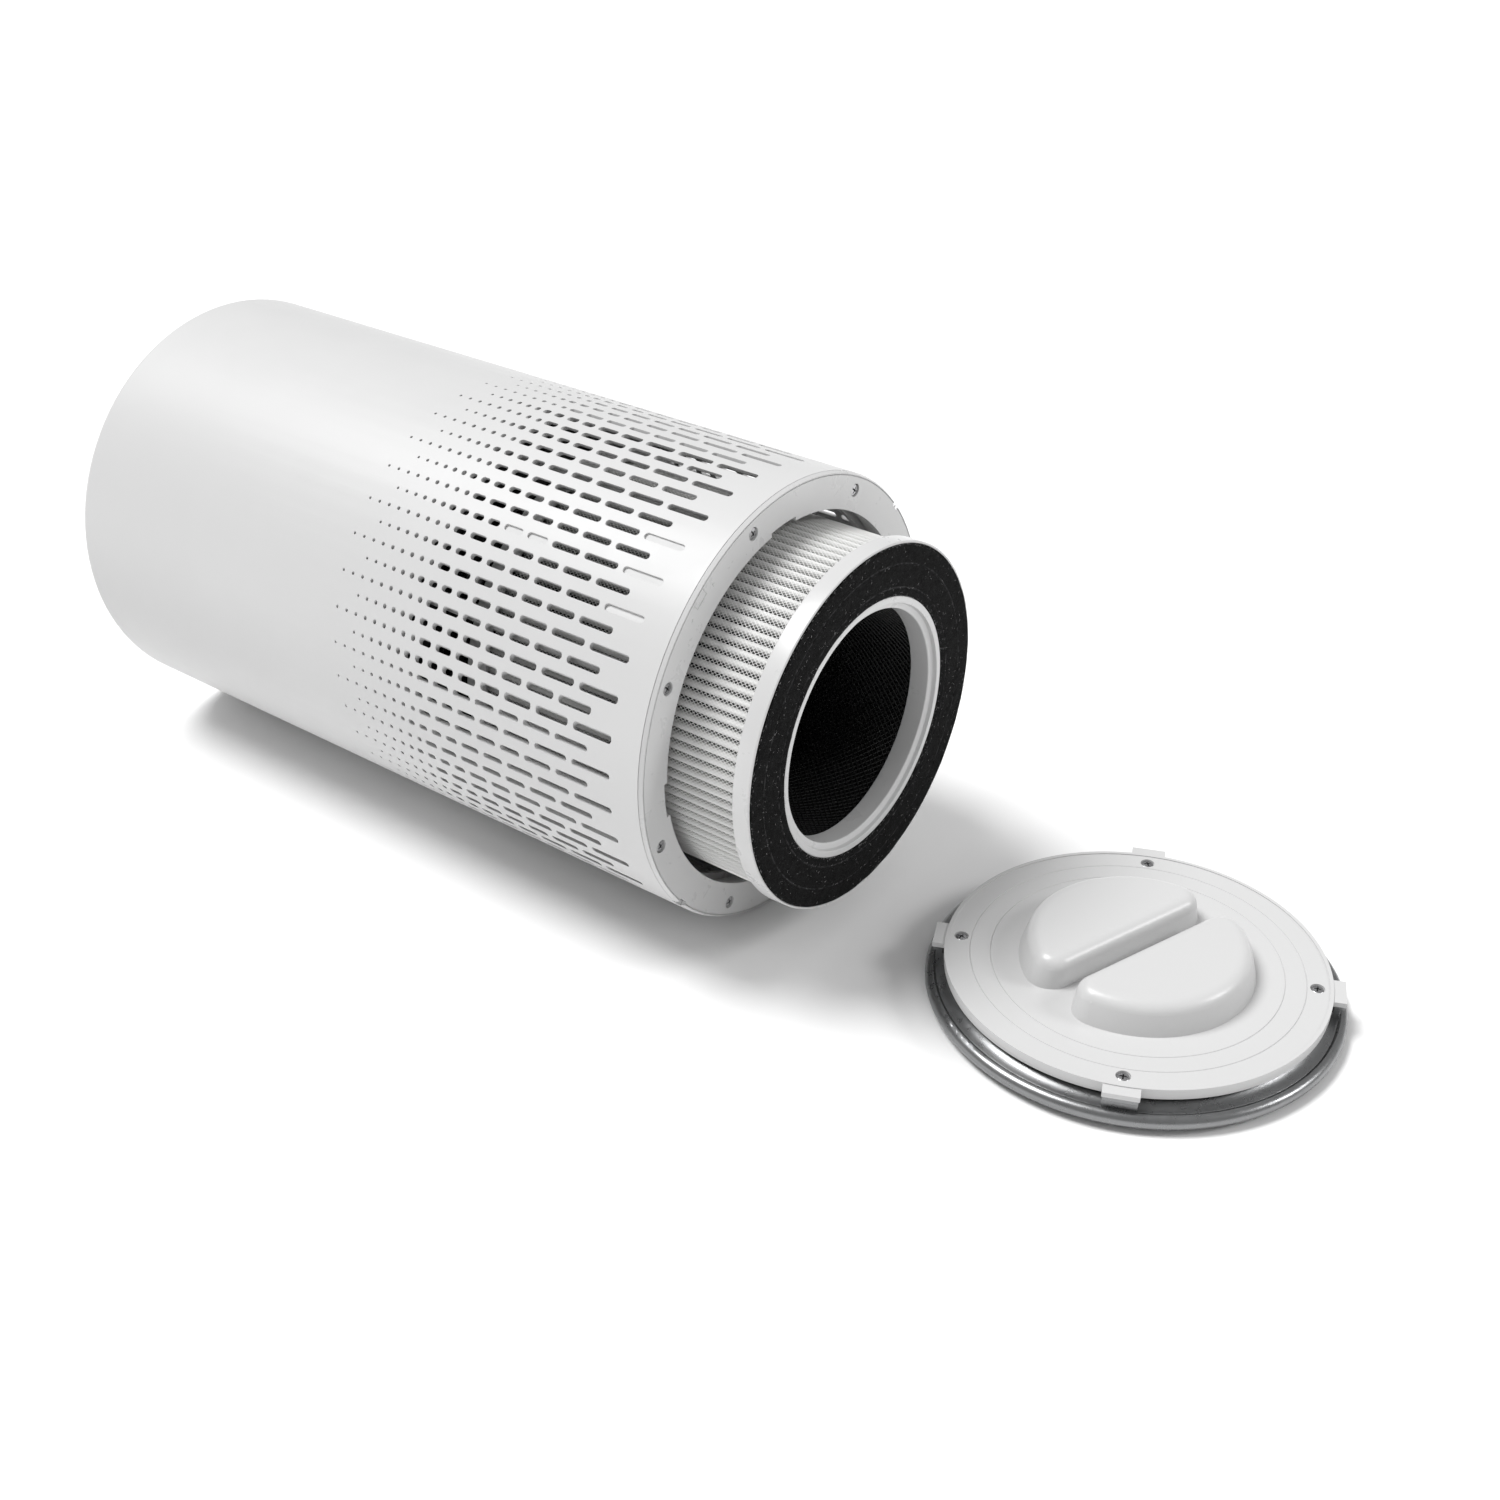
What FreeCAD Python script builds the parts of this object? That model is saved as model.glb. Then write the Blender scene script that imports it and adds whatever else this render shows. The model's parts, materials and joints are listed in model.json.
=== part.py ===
import FreeCAD, Part
import math
import os
import Sketcher

# Cylindrical room air purifier, laid on its side with its filter partly drawn out and
# its base cover lying on the floor beside the open end, inner side up.
# Millimetres, +Z up, floor at Z = 0. The housing's axis runs along X, its open end
# faces +X, and the origin is under the middle of the whole group.
# Housing and filter pieces are drawn upright, with Z measured from the open end (or
# from the filter's front face) towards the top of the purifier, and are then laid down.

DIMENSIONS = {
    # housing
    "body_radius": 115.0, "body_length": 407.0, "shell_wall": 2.6, "shell_start": 2.2,
    "shell_seam": 0.1, "top_round": 3.0, "top_lip": 2.6, "top_opening": 100.0,
    # bottom ring with its bayonet mouth
    "mouth_radius": 96.5, "slot_radius": 98.6, "slot_angle": 11.0, "lip_thick": 3.0,
    "ring_chamfer": 1.0, "ring_edge": 1.9, "skirt_outer": 112.1, "skirt_inner": 110.3,
    "skirt_depth": 14.0, "collar_inner": 99.0, "collar_outer": 100.8, "collar_depth": 12.0,
    "ring_screw_circle": 106.7, "head_radius": 3.0, "head_recess": 3.3, "head_depth": 1.5,
    "shank_radius": 1.25, "shank_hole": 1.27, "shank_length": 14.0,
    # chamber frame
    "rib_inner": 101.0, "rib_outer": 110.1, "rib_width": 7.0, "hoop_inner": 96.6,
    "hoop_outer": 112.2, "hoop_thick": 3.0, "hoop_level": 14.2,
    # fan deck, fan housing and motor
    "deck_level": 188.2, "deck_thick": 3.0, "inlet_radius": 62.0, "duct_inner": 102.0,
    "duct_outer": 104.5, "duct_top": 294.0, "flange_thick": 3.0, "deck_screw_circle": 108.2,
    "vane_bottom": 236.0, "vane_height": 30.0, "vane_thick": 2.4, "cup_radius": 36.5,
    "cup_inner": 34.0, "cup_floor": 3.0, "cup_top": 270.0, "bearing_radius": 8.0,
    "bearing_bore": 3.05, "can_radius": 33.9, "can_inner": 22.0, "can_bottom": 239.2,
    "can_top": 264.0, "can_end": 3.0, "motor_screw_circle": 28.0,
    # impeller
    "wheel_bottom": 195.2, "wheel_top": 233.0, "wheel_radius": 84.0, "wheel_inlet": 52.0,
    "wheel_plate": 2.0, "hub_radius": 10.0, "hub_bottom": 221.0, "shaft_radius": 3.0,
    "shaft_bottom": 213.0, "shaft_top": 266.0, "rotor_radius": 21.0, "rotor_bottom": 244.0,
    "rotor_height": 15.0, "nut_height": 4.0, "nut_radius": 6.5,
    # centre column, outlet grille and controls
    "column_outer": 46.0, "column_inner": 43.5, "column_foot": 34.0, "column_top": 399.4,
    "grille_base": 400.6, "grille_face": 406.0, "grille_rim": 99.6, "grille_flange": 111.8,
    "hub_ring_inner": 44.4, "hub_ring_outer": 49.0, "bar_width": 1.6,
    "shelf_level": 384.0, "shelf_inner": 38.0, "board_radius": 43.3, "board_thick": 1.6,
    "panel_radius": 42.2, "panel_face": 406.4, "panel_thick": 3.0, "light_inner": 42.4,
    "light_outer": 44.3, "button_radius": 12.0, "button_gap": 0.4, "button_face": 407.0,
    # filter cartridge
    "filter_radius": 93.2, "filter_length": 178.0, "gasket_outer": 92.0,
    "gasket_inner": 66.4, "gasket_thick": 2.5, "collar_step": 62.5, "bore_radius": 59.5,
    "cap_depth": 10.0, "rear_cap_depth": 15.0, "media_outer": 89.5, "media_inner": 68.0,
    "carbon_inner": 61.4, "core_outer": 61.2, "core_inner": 60.2,
    # base cover
    "cover_rim": 97.2, "rim_round": 3.8, "grip_hole": 60.0, "plate_bottom": 2.0,
    "plate_top": 8.4, "rim_height": 5.8, "foot_inner": 80.0, "foot_outer": 90.0,
    "disc_radius": 92.4, "disc_bottom": 16.0, "disc_top": 19.5, "disc_lip": 0.5,
    "disc_core": 5.0, "outer_groove": 80.0, "inner_groove": 70.0, "groove_depth": 0.4,
    "boss_radius": 78.0, "hump_radius": 56.5, "hump_height": 15.5, "hump_wall": 2.4,
    "hump_draft": 4.5, "bar_draft": 0.8, "grip_bar": 9.0, "lug_width": 17.0,
    "lug_reach": 98.0, "lug_bottom": 14.4, "lug_split": 16.8, "lug_top": 19.4,
    "post_inner": 88.4, "post_outer": 96.0, "post_step": 12.9, "post_reach": 97.6,
    "cover_screw_circle": 84.8, "pillar_radius": 3.4, "seal_inner": 88.6,
    "seal_outer": 90.8, "seal_bottom": 13.2, "seal_top": 15.7,
    # power inlet
    "inlet_level": 345.0, "inlet_width": 26.0, "inlet_height": 18.0, "inlet_face": 112.2,
    "inlet_depth": 24.0, "socket_depth": 13.0, "pin_radius": 1.2, "pin_spacing": 8.6,
}

# Arrangement on the floor: how far the filter's front face stands out of the housing,
# and where the cover's centre lies from the housing's open end.
FILTER_OUT = 45.0
COVER_AHEAD = 184.0
COVER_ASIDE = 33.5
COVER_TURN = 23.7

# Angles about the housing's axis, in degrees from straight up, positive towards +Y.
FRONT_CENTRE = -40.0
SCREW_START = -62.4
SLOT_START = -95.1
GRIP_TURN = 48.0

doc = FreeCAD.newDocument("air_purifier")
sheet = doc.addObject("Spreadsheet::Sheet", "dims")
for row, (alias, size) in enumerate(DIMENSIONS.items(), start=1):
    sheet.set("A%d" % row, alias)
    sheet.set("B%d" % row, str(size))
    sheet.setAlias("B%d" % row, alias)
doc.recompute()

UP = FreeCAD.Vector(0, 0, 1)
NODES = {}


def dim(alias):
    """A size from the sheet, in millimetres."""
    return float(sheet.get(alias))


def bind(expression):
    """Turn an arithmetic of aliases into a sheet expression."""
    words = expression.replace("(", " ( ").replace(")", " ) ").split()
    return " ".join("dims." + word if word in DIMENSIONS else word for word in words)


def value(expression):
    """The number that an arithmetic of aliases comes to."""
    return float(sheet.evalExpression(bind(expression)))


def turn(degrees, x=0.0, y=0.0, z=0.0):
    """A placement turned about Z."""
    return FreeCAD.Placement(FreeCAD.Vector(x, y, z), FreeCAD.Rotation(UP, degrees))


def cylinder(radius, bottom, height, angle=0.0, out=0.0, sweep=None):
    """A cylinder along Z, set `out` from the axis at `angle`."""
    piece = doc.addObject("Part::Cylinder", "cylinder")
    piece.setExpression("Radius", bind(radius))
    piece.setExpression("Height", bind(height))
    if sweep:
        piece.setExpression("Angle", bind(sweep))
    radians = math.radians(angle)
    spot = FreeCAD.Vector(out * math.cos(radians), out * math.sin(radians), 0)
    piece.Placement = FreeCAD.Placement(spot, FreeCAD.Rotation(UP, angle))
    piece.setExpression("Placement.Base.z", bind(bottom))
    return piece


def box(near, far, width, bottom, height, angle=0.0, shift=0.0):
    """A block from radius near to far, centred across the ray at `angle`."""
    piece = doc.addObject("Part::Box", "box")
    piece.setExpression("Length", bind("( " + far + " ) - ( " + near + " )"))
    piece.setExpression("Width", bind(width))
    piece.setExpression("Height", bind(height))
    start = value(near)
    side = shift - value(width) / 2
    radians = math.radians(angle)
    x = start * math.cos(radians) - side * math.sin(radians)
    y = start * math.sin(radians) + side * math.cos(radians)
    piece.Placement = turn(angle, x, y)
    piece.setExpression("Placement.Base.z", bind(bottom))
    return piece


def cut(base, tool):
    """base minus tool."""
    piece = doc.addObject("Part::Cut", "cut")
    piece.Base = base
    piece.Tool = tool
    return piece


def fuse(pieces):
    """All pieces as one solid."""
    piece = doc.addObject("Part::MultiFuse", "fuse")
    piece.Shapes = pieces
    return piece


def group(pieces):
    """Separate solids kept together."""
    piece = doc.addObject("Part::Compound", "group")
    piece.Links = pieces
    return piece


def tube(outer, inner, bottom, height):
    """A plain ring about Z."""
    return cut(cylinder(outer, bottom, height), cylinder(inner, bottom, height))


def turned(profile, sweep=360.0):
    """A PartDesign body revolved about Z from (radius, level) expressions.

    A third item on a point, "arc", bows the edge that leaves it a quarter turn outward.
    """
    body = doc.addObject("PartDesign::Body", "turned")
    sketch = body.newObject("Sketcher::SketchObject", "section")
    plane = [f for f in body.Origin.OriginFeatures if f.Role == "XZ_Plane"][0]
    sketch.AttachmentSupport = [(plane, "")]
    sketch.MapMode = "FlatFace"
    spots = [FreeCAD.Vector(value(p[0]), value(p[1]), 0) for p in profile]
    count = len(profile)
    for index, point in enumerate(profile):
        start = spots[index]
        end = spots[(index + 1) % count]
        if len(point) > 2:
            bulge = quarter_middle(start, end)
            sketch.addGeometry(Part.Arc(start, bulge, end), False)
        else:
            sketch.addGeometry(Part.LineSegment(start, end), False)
    for index, point in enumerate(profile):
        corner = corner_of(sketch, index, spots[index])
        for kind, text in (("DistanceX", point[0]), ("DistanceY", point[1])):
            size = spots[index].x if kind == "DistanceX" else spots[index].y
            place = sketch.addConstraint(Sketcher.Constraint(kind, -1, 1, index, corner, size))
            sketch.setExpression("Constraints[%d]" % place, bind(text))
        following = (index + 1) % count
        joined = corner_of(sketch, following, spots[following])
        last = 3 - corner
        sketch.addConstraint(Sketcher.Constraint("Coincident", index, last, following, joined))
    feature = body.newObject("PartDesign::Revolution", "revolution")
    feature.Profile = sketch
    feature.ReferenceAxis = (sketch, ["V_Axis"])
    feature.Angle = sweep
    body.Tip = feature
    return body


def quarter_middle(start, end):
    """The middle of the quarter circle from start to end that bulges to its right."""
    chord = end - start
    middle = (start + end) / 2
    side = FreeCAD.Vector(chord.y, -chord.x, 0)
    return middle + side * (math.sqrt(2) - 1) / 2


def corner_of(sketch, index, spot):
    """Which end of a sketch edge, 1 or 2, lies on the spot."""
    edge = sketch.Geometry[index]
    return 1 if (edge.StartPoint - spot).Length < 1e-6 else 2


def node(label, piece, pose):
    """Name a sub-part and put it in its place."""
    if not piece.TypeId.startswith(("Part::Cut", "Part::MultiFuse", "PartDesign")):
        piece = piece if piece.TypeId == "Part::Compound" else group([piece])
    piece.Label = label
    piece.Placement = pose.multiply(piece.Placement)
    NODES[label] = piece
    return piece


def lying(front):
    """Upright pieces laid along X, with their level 0 at X = front."""
    laid = FreeCAD.Rotation(FreeCAD.Vector(0, 1, 0), -90)
    return FreeCAD.Placement(FreeCAD.Vector(front, AXIS_Y, dim("body_radius")), laid)


# The open end's X and the axis's Y put the origin under the middle of the whole group.
COVER_RADIUS = dim("cover_rim") + dim("rim_round")
OPEN_END = (dim("body_length") - COVER_AHEAD - COVER_RADIUS) / 2
AXIS_Y = (dim("body_radius") - COVER_ASIDE - COVER_RADIUS) / 2
HOUSING = lying(OPEN_END)
FILTER = lying(OPEN_END + FILTER_OUT)
COVER = turn(COVER_TURN, OPEN_END + COVER_AHEAD, AXIS_Y + COVER_ASIDE)


def slot(aside, low, high, width, near, far):
    """A round-ended cutter along X, from near to far, with its length along Z."""
    radius = width / 2
    if high - low < width + 0.01:
        middle = FreeCAD.Vector(near, aside, (low + high) / 2)
        outline = Part.Wire([Part.Circle(middle, FreeCAD.Vector(1, 0, 0), radius).toShape()])
    else:
        left = aside - radius
        right = aside + radius
        low_left = FreeCAD.Vector(near, left, low + radius)
        low_right = FreeCAD.Vector(near, right, low + radius)
        high_left = FreeCAD.Vector(near, left, high - radius)
        high_right = FreeCAD.Vector(near, right, high - radius)
        top = FreeCAD.Vector(near, aside, high)
        bottom = FreeCAD.Vector(near, aside, low)
        outline = Part.Wire([
            Part.LineSegment(low_left, high_left).toShape(),
            Part.Arc(high_left, top, high_right).toShape(),
            Part.LineSegment(high_right, low_right).toShape(),
            Part.Arc(low_right, bottom, low_left).toShape(),
        ])
    return Part.Face(outline).extrude(FreeCAD.Vector(far - near, 0, 0))


# Air holes: each row runs from long slots near the open end to small dots. Rows of two
# kinds alternate round the body. Each half shell's holes are drawn straight out from its
# face or to either side of it, and those on the seam are drawn square to the wall.
ROW_COUNT = 38
ROW_PITCH = 360.0 / ROW_COUNT
LONG_ROW = (19.1, 3.3, [23.1, 19.9, 16.7, 12.3, 11.5, 7.2, 6.6, 5.3, 4.2], 6, 6.25)
SHORT_ROW = (32.9, 3.2, [19.8, 16.8, 12.6, 12.3, 11.4, 10.2, 7.9], 9, 6.7)
WIDEST_SLOT = 3.4
SLOT_TAPER = 0.06
LARGEST_DOT = 2.8
SMALLEST_DOT = 1.4
FACE_SECTOR = 41.0
SIDE_SECTOR = 88.0
SIDE_DRAW = 52.0
BLIND_DEPTH = 1.1
# Slots left blind, as (half rows from the front centre, holes from the open end).
BLIND_SLOTS = ((-2, 0), (0, 0), (2, 0), (0, 3), (0, 4))


def row_holes(kind):
    """The (low, high, width) of every hole in one row."""
    level, gap, lengths, dots, pitch = kind
    holes = []
    for index, length in enumerate(lengths):
        holes.append((level, level + length, WIDEST_SLOT - SLOT_TAPER * index))
        level += length + gap
    middle = level - gap + 4.3
    for index in range(dots):
        size = LARGEST_DOT + (SMALLEST_DOT - LARGEST_DOT) * index / (dots - 1)
        holes.append((middle - size / 2, middle + size / 2, size))
        middle += pitch
    return holes


def mould_direction(offset):
    """The draw of a hole this far from its half shell's middle: face, side or seam."""
    if abs(offset) <= FACE_SECTOR:
        return 0.0
    if abs(offset) <= SIDE_SECTOR:
        return math.copysign(SIDE_DRAW, offset)
    return offset


def hole_cutters(centre):
    """Cutters for every hole of the half shell that faces `centre`."""
    radius = dim("body_radius")
    cutters = []
    for half_row in range(2 * ROW_COUNT):
        steps = half_row - ROW_COUNT + 1
        angle = FRONT_CENTRE + steps * ROW_PITCH / 2
        kind = SHORT_ROW if steps % 2 else LONG_ROW
        offset = (angle - centre + 180) % 360 - 180
        if abs(offset) > 90:
            continue
        draw = mould_direction(offset)
        aside = radius * math.sin(math.radians(offset - draw))
        surface = radius * math.cos(math.radians(offset - draw))
        for index, (low, high, width) in enumerate(row_holes(kind)):
            blind = centre == FRONT_CENTRE and (steps, index) in BLIND_SLOTS
            near = surface - BLIND_DEPTH if blind else surface - 12
            cutter = slot(aside, low, high, width, near, surface + 6)
            cutter.rotate(FreeCAD.Vector(0, 0, 0), UP, centre + draw)
            cutters.append(cutter)
    return cutters


def half_shell(label, centre, extra_cuts):
    """One moulded half of the perforated wall, with half of the inturned top edge."""
    seam = dim("shell_seam") / dim("body_radius") * 180 / math.pi
    wall = turned([
        ("body_radius - shell_wall", "shell_start"),
        ("body_radius", "shell_start"),
        ("body_radius", "body_length - top_round", "arc"),
        ("body_radius - top_round", "body_length"),
        ("top_opening", "body_length"),
        ("top_opening", "body_length - top_lip"),
        ("body_radius - shell_wall", "body_length - top_lip"),
    ], sweep=180 - 2 * seam)
    wall.Placement = turn(centre - 90 + seam)
    holes = doc.addObject("Part::Feature", "air_holes")
    holes.Shape = Part.Compound(hole_cutters(centre))
    shell = cut(wall, holes)
    for tool in extra_cuts:
        shell = cut(shell, tool)
    return node(label, shell, HOUSING)


def seam_notches():
    """Two notches in the rim where the half shells meet."""
    return [box("skirt_outer", "body_radius + 1", "5.5", "0 - 1", "shell_start + 3.4",
                FRONT_CENTRE + side) for side in (-90, 90)]


def outer_shells():
    """The front and rear half shells."""
    vents = []
    for step in range(-2, 3):
        for column in (-1, 0, 1):
            vents.append(round_port(FRONT_CENTRE - 170, 320 + 5 * step, column * 5))
    port = box("inlet_face - 20", "body_radius + 2", "inlet_width + 0.4",
               "inlet_level - inlet_height / 2 - 0.2", "inlet_height + 0.4", 90.0)
    half_shell("front_shell", FRONT_CENTRE, [fuse(seam_notches())])
    half_shell("rear_shell", FRONT_CENTRE + 180, [fuse(seam_notches() + [port] + vents)])


def round_port(angle, level, aside):
    """A small round vent through the wall."""
    port = doc.addObject("Part::Cylinder", "vent")
    port.Radius = 1.2
    port.Height = 16
    radians = math.radians(angle)
    x = 104 * math.cos(radians) - aside * math.sin(radians)
    y = 104 * math.sin(radians) + aside * math.cos(radians)
    lean = FreeCAD.Rotation(UP, angle).multiply(FreeCAD.Rotation(FreeCAD.Vector(0, 1, 0), 90))
    port.Placement = FreeCAD.Placement(FreeCAD.Vector(x, y, level), lean)
    return port


def screw(circle, angle, under_head, length, head_height="1.2", down=False):
    """A pan-head cross-recess screw; the head is below its shank, or above if `down`."""
    spot = value(circle)
    if down:
        head_level = under_head
        shank_level = "( " + under_head + " ) - ( " + length + " )"
        recess_level = "( " + under_head + " ) + ( " + head_height + " ) - 0.8"
    else:
        head_level = "( " + under_head + " ) - ( " + head_height + " )"
        shank_level = under_head
        recess_level = "( " + under_head + " ) - ( " + head_height + " ) - 0.2"
    head = cylinder("head_radius", head_level, head_height, angle, spot)
    shank = cylinder("shank_radius", shank_level, length, angle, spot)
    slots = []
    for shift, reach, width in ((0, 1.8, "0.8"), (0, 0.4, "3.6")):
        near = "%s - %s" % (circle, reach)
        far = "%s + %s" % (circle, reach)
        slots.append(box(near, far, width, recess_level, "1", angle, shift))
    return cut(fuse([head, shank]), fuse(slots))


def bottom_ring():
    """The ring that closes the open end, with the bayonet mouth for the cover."""
    ring = turned([
        ("mouth_radius", "0"),
        ("body_radius - ring_chamfer", "0"),
        ("body_radius", "ring_edge"),
        ("skirt_outer", "ring_edge"),
        ("skirt_outer", "skirt_depth"),
        ("skirt_inner", "skirt_depth"),
        ("skirt_inner", "lip_thick"),
        ("collar_outer", "lip_thick"),
        ("collar_outer", "collar_depth"),
        ("collar_inner", "collar_depth"),
        ("collar_inner", "lip_thick"),
        ("mouth_radius", "lip_thick"),
    ])
    cuts = [tube("body_radius - 1.5", "body_radius - 1.9", "0 - 1", "1.5")]
    for quarter in range(4):
        start = SLOT_START + 90 * quarter - dim("slot_angle") / 2
        cuts.append(cylinder("slot_radius", "0 - 1", "lip_thick + 1", start, 0, "slot_angle"))
    for index in range(8):
        angle = SCREW_START + 45 * index
        spot = dim("ring_screw_circle")
        cuts.append(cylinder("head_recess", "0 - 1", "head_depth + 1", angle, spot))
        cuts.append(cylinder("shank_radius + 0.4", "0 - 1", "lip_thick + 2", angle, spot))
    node("bottom_ring", cut(cut(ring, fuse(seam_notches())), fuse(cuts)), HOUSING)
    screws = [screw("ring_screw_circle", SCREW_START + 45 * index, "head_depth",
                    "shank_length") for index in range(8)]
    node("ring_screws", group(screws), HOUSING)


def chamber_frame():
    """Eight ribs between two hoops: they carry the ring, the deck and the shells."""
    pieces = [tube("hoop_outer", "hoop_inner", "hoop_level", "hoop_thick"),
              tube("hoop_outer", "hoop_inner", "deck_level - 2 * hoop_thick", "2 * hoop_thick")]
    pilots = []
    for index in range(8):
        angle = SCREW_START + 45 * index
        pieces.append(box("rib_inner", "rib_outer", "rib_width", "lip_thick",
                          "deck_level - lip_thick", angle))
        pilots.append(cylinder("shank_hole", "0", "shank_length + 3", angle,
                               dim("ring_screw_circle")))
        if index % 2:
            pilots.append(cylinder("shank_hole", "deck_level - shank_length", "shank_length + 1",
                                   angle, dim("deck_screw_circle")))
    node("chamber_frame", cut(fuse(pieces), fuse(pilots)), HOUSING)


def fan_deck():
    """The deck between filter chamber and fan, its guard and its screws."""
    holes = []
    screws = []
    deck_top = "deck_level + deck_thick"
    for index in range(1, 8, 2):
        angle = SCREW_START + 45 * index
        holes.append(cylinder("shank_radius + 0.4", "deck_level - 1", "deck_thick + 2", angle,
                              dim("deck_screw_circle")))
        screws.append(screw("deck_screw_circle", angle, deck_top + " + flange_thick",
                            "shank_length + 3", "2", down=True))
    deck = tube("hoop_outer", "inlet_radius", "deck_level", "deck_thick")
    node("fan_deck", cut(deck, fuse(holes)), HOUSING)
    node("deck_screws", group(screws), HOUSING)
    pieces = [cylinder("6", "deck_level + 0.4", "2.2")]
    for outer in (20.0, 34.0, 48.0, 62.0):
        pieces.append(tube("%s" % outer, "%s" % (outer - 1.8), "deck_level + 0.4", "2.2"))
    for index in range(6):
        pieces.append(box("5", "inlet_radius - 1", "1.8", "deck_level + 0.4", "2.2", 60 * index))
    node("fan_guard", fuse(pieces), HOUSING)


def fan_housing():
    """Duct, straightening vanes and motor cup in one moulding."""
    deck_top = "deck_level + deck_thick"
    duct = turned([
        ("duct_inner", deck_top), ("hoop_outer", deck_top),
        ("hoop_outer", deck_top + " + flange_thick"), ("duct_outer", deck_top + " + flange_thick"),
        ("duct_outer", "duct_top"), ("duct_inner", "duct_top"),
    ])
    cup = turned([
        ("bearing_radius", "vane_bottom"), ("cup_radius", "vane_bottom"),
        ("cup_radius", "cup_top"), ("cup_inner", "cup_top"),
        ("cup_inner", "vane_bottom + cup_floor"), ("bearing_radius", "vane_bottom + cup_floor"),
    ])
    vanes = [box("cup_radius - 1", "duct_inner + 1", "vane_thick", "vane_bottom", "vane_height",
                 360.0 * index / 11) for index in range(11)]
    holes = [cylinder("shank_radius + 0.3", deck_top + " - 1", "flange_thick + 2",
                      SCREW_START + 45 * index, dim("deck_screw_circle"))
             for index in range(1, 8, 2)]
    holes += [cylinder("shank_radius + 0.2", "vane_bottom - 1", "cup_floor + 2", 120 * index,
                       dim("motor_screw_circle")) for index in range(3)]
    node("fan_housing", cut(fuse([duct, cup] + vanes), fuse(holes)), HOUSING)
    node("motor_cover", turned([
        ("4", "cup_top"), ("cup_radius", "cup_top"), ("cup_radius", "cup_top + 3"),
        ("4", "cup_top + 3"),
    ]), HOUSING)


def motor():
    """The motor's fixed can, its bearings and its three screws."""
    can = turned([
        ("9", "can_bottom"), ("can_radius", "can_bottom"), ("can_radius", "can_top"),
        ("9", "can_top"), ("9", "can_top - can_end"), ("can_inner", "can_top - can_end"),
        ("can_inner", "can_bottom + can_end"), ("9", "can_bottom + can_end"),
    ])
    pilots = [cylinder("shank_hole", "can_bottom - 1", "12", 120 * index,
                       dim("motor_screw_circle")) for index in range(3)]
    node("motor_can", cut(can, fuse(pilots)), HOUSING)
    lower = tube("bearing_radius", "bearing_bore", "vane_bottom", "cup_floor")
    upper = tube("9", "bearing_bore", "can_top - can_end", "can_end")
    node("motor_bearings", group([lower, upper]), HOUSING)
    screws = [screw("motor_screw_circle", 120 * index, "vane_bottom", "10")
              for index in range(3)]
    node("motor_screws", group(screws), HOUSING)


def impeller():
    """The centrifugal wheel, its shaft, the magnet rotor and the nut."""
    plate_level = "wheel_top - wheel_plate"
    wheel = turned([
        ("shaft_radius", "hub_bottom"), ("hub_radius", "hub_bottom"),
        ("hub_radius", plate_level), ("wheel_radius", plate_level),
        ("wheel_radius", "wheel_top"), ("shaft_radius", "wheel_top"),
    ])
    shroud = turned([
        ("wheel_inlet", "wheel_bottom"), ("wheel_inlet + wheel_plate", "wheel_bottom"),
        ("wheel_inlet + wheel_plate + 2", "wheel_bottom + 4"),
        ("wheel_radius", "wheel_bottom + 8"),
        ("wheel_radius", "wheel_bottom + 8 + wheel_plate"),
        ("wheel_inlet + 2", "wheel_bottom + 4 + wheel_plate"),
    ])
    blades = doc.addObject("Part::Feature", "blades")
    blades.Shape = Part.Compound([blade(360.0 * index / 9) for index in range(9)])
    node("impeller_wheel", fuse([wheel, shroud, blades]), HOUSING)
    node("motor_shaft", cylinder("shaft_radius", "shaft_bottom", "shaft_top - shaft_bottom"),
         HOUSING)
    node("motor_rotor", tube("rotor_radius", "shaft_radius", "rotor_bottom", "rotor_height"),
         HOUSING)
    nut = doc.addObject("Part::Prism", "nut")
    nut.Polygon = 6
    nut.setExpression("Circumradius", bind("nut_radius"))
    nut.setExpression("Height", bind("nut_height"))
    nut.setExpression("Placement.Base.z", bind("hub_bottom - nut_height"))
    hole = cylinder("shaft_radius", "hub_bottom - nut_height - 1", "nut_height + 2")
    node("impeller_nut", cut(nut, hole), HOUSING)


def blade(angle):
    """One backward-curved blade, an arc band from the inlet to the wheel's edge."""
    inner = dim("wheel_inlet") - 8
    outer = dim("wheel_radius") - 0.5
    low = dim("wheel_bottom") + 7
    high = dim("wheel_top") - dim("wheel_plate") / 2
    lag = math.radians(38)
    half = 1.0
    edges = []
    for side in (-half, half):
        points = []
        for part in (0.0, 0.5, 1.0):
            radius = inner + (outer - inner) * part
            swing = -lag * part ** 1.3 + side / radius
            points.append(FreeCAD.Vector(radius * math.cos(swing), radius * math.sin(swing), low))
        edges.append(points)
    first, second = edges
    outline = Part.Wire([
        Part.Arc(*first).toShape(),
        Part.LineSegment(first[2], second[2]).toShape(),
        Part.Arc(*second[::-1]).toShape(),
        Part.LineSegment(second[0], first[0]).toShape(),
    ])
    solid = Part.Face(outline).extrude(FreeCAD.Vector(0, 0, high - low))
    trim = Part.makeCone(dim("wheel_inlet") + 2, dim("wheel_radius"), 4,
                         FreeCAD.Vector(0, 0, dim("wheel_bottom") + 5))
    solid = solid.cut(trim)
    solid.rotate(FreeCAD.Vector(0, 0, 0), UP, angle)
    return solid


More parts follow.
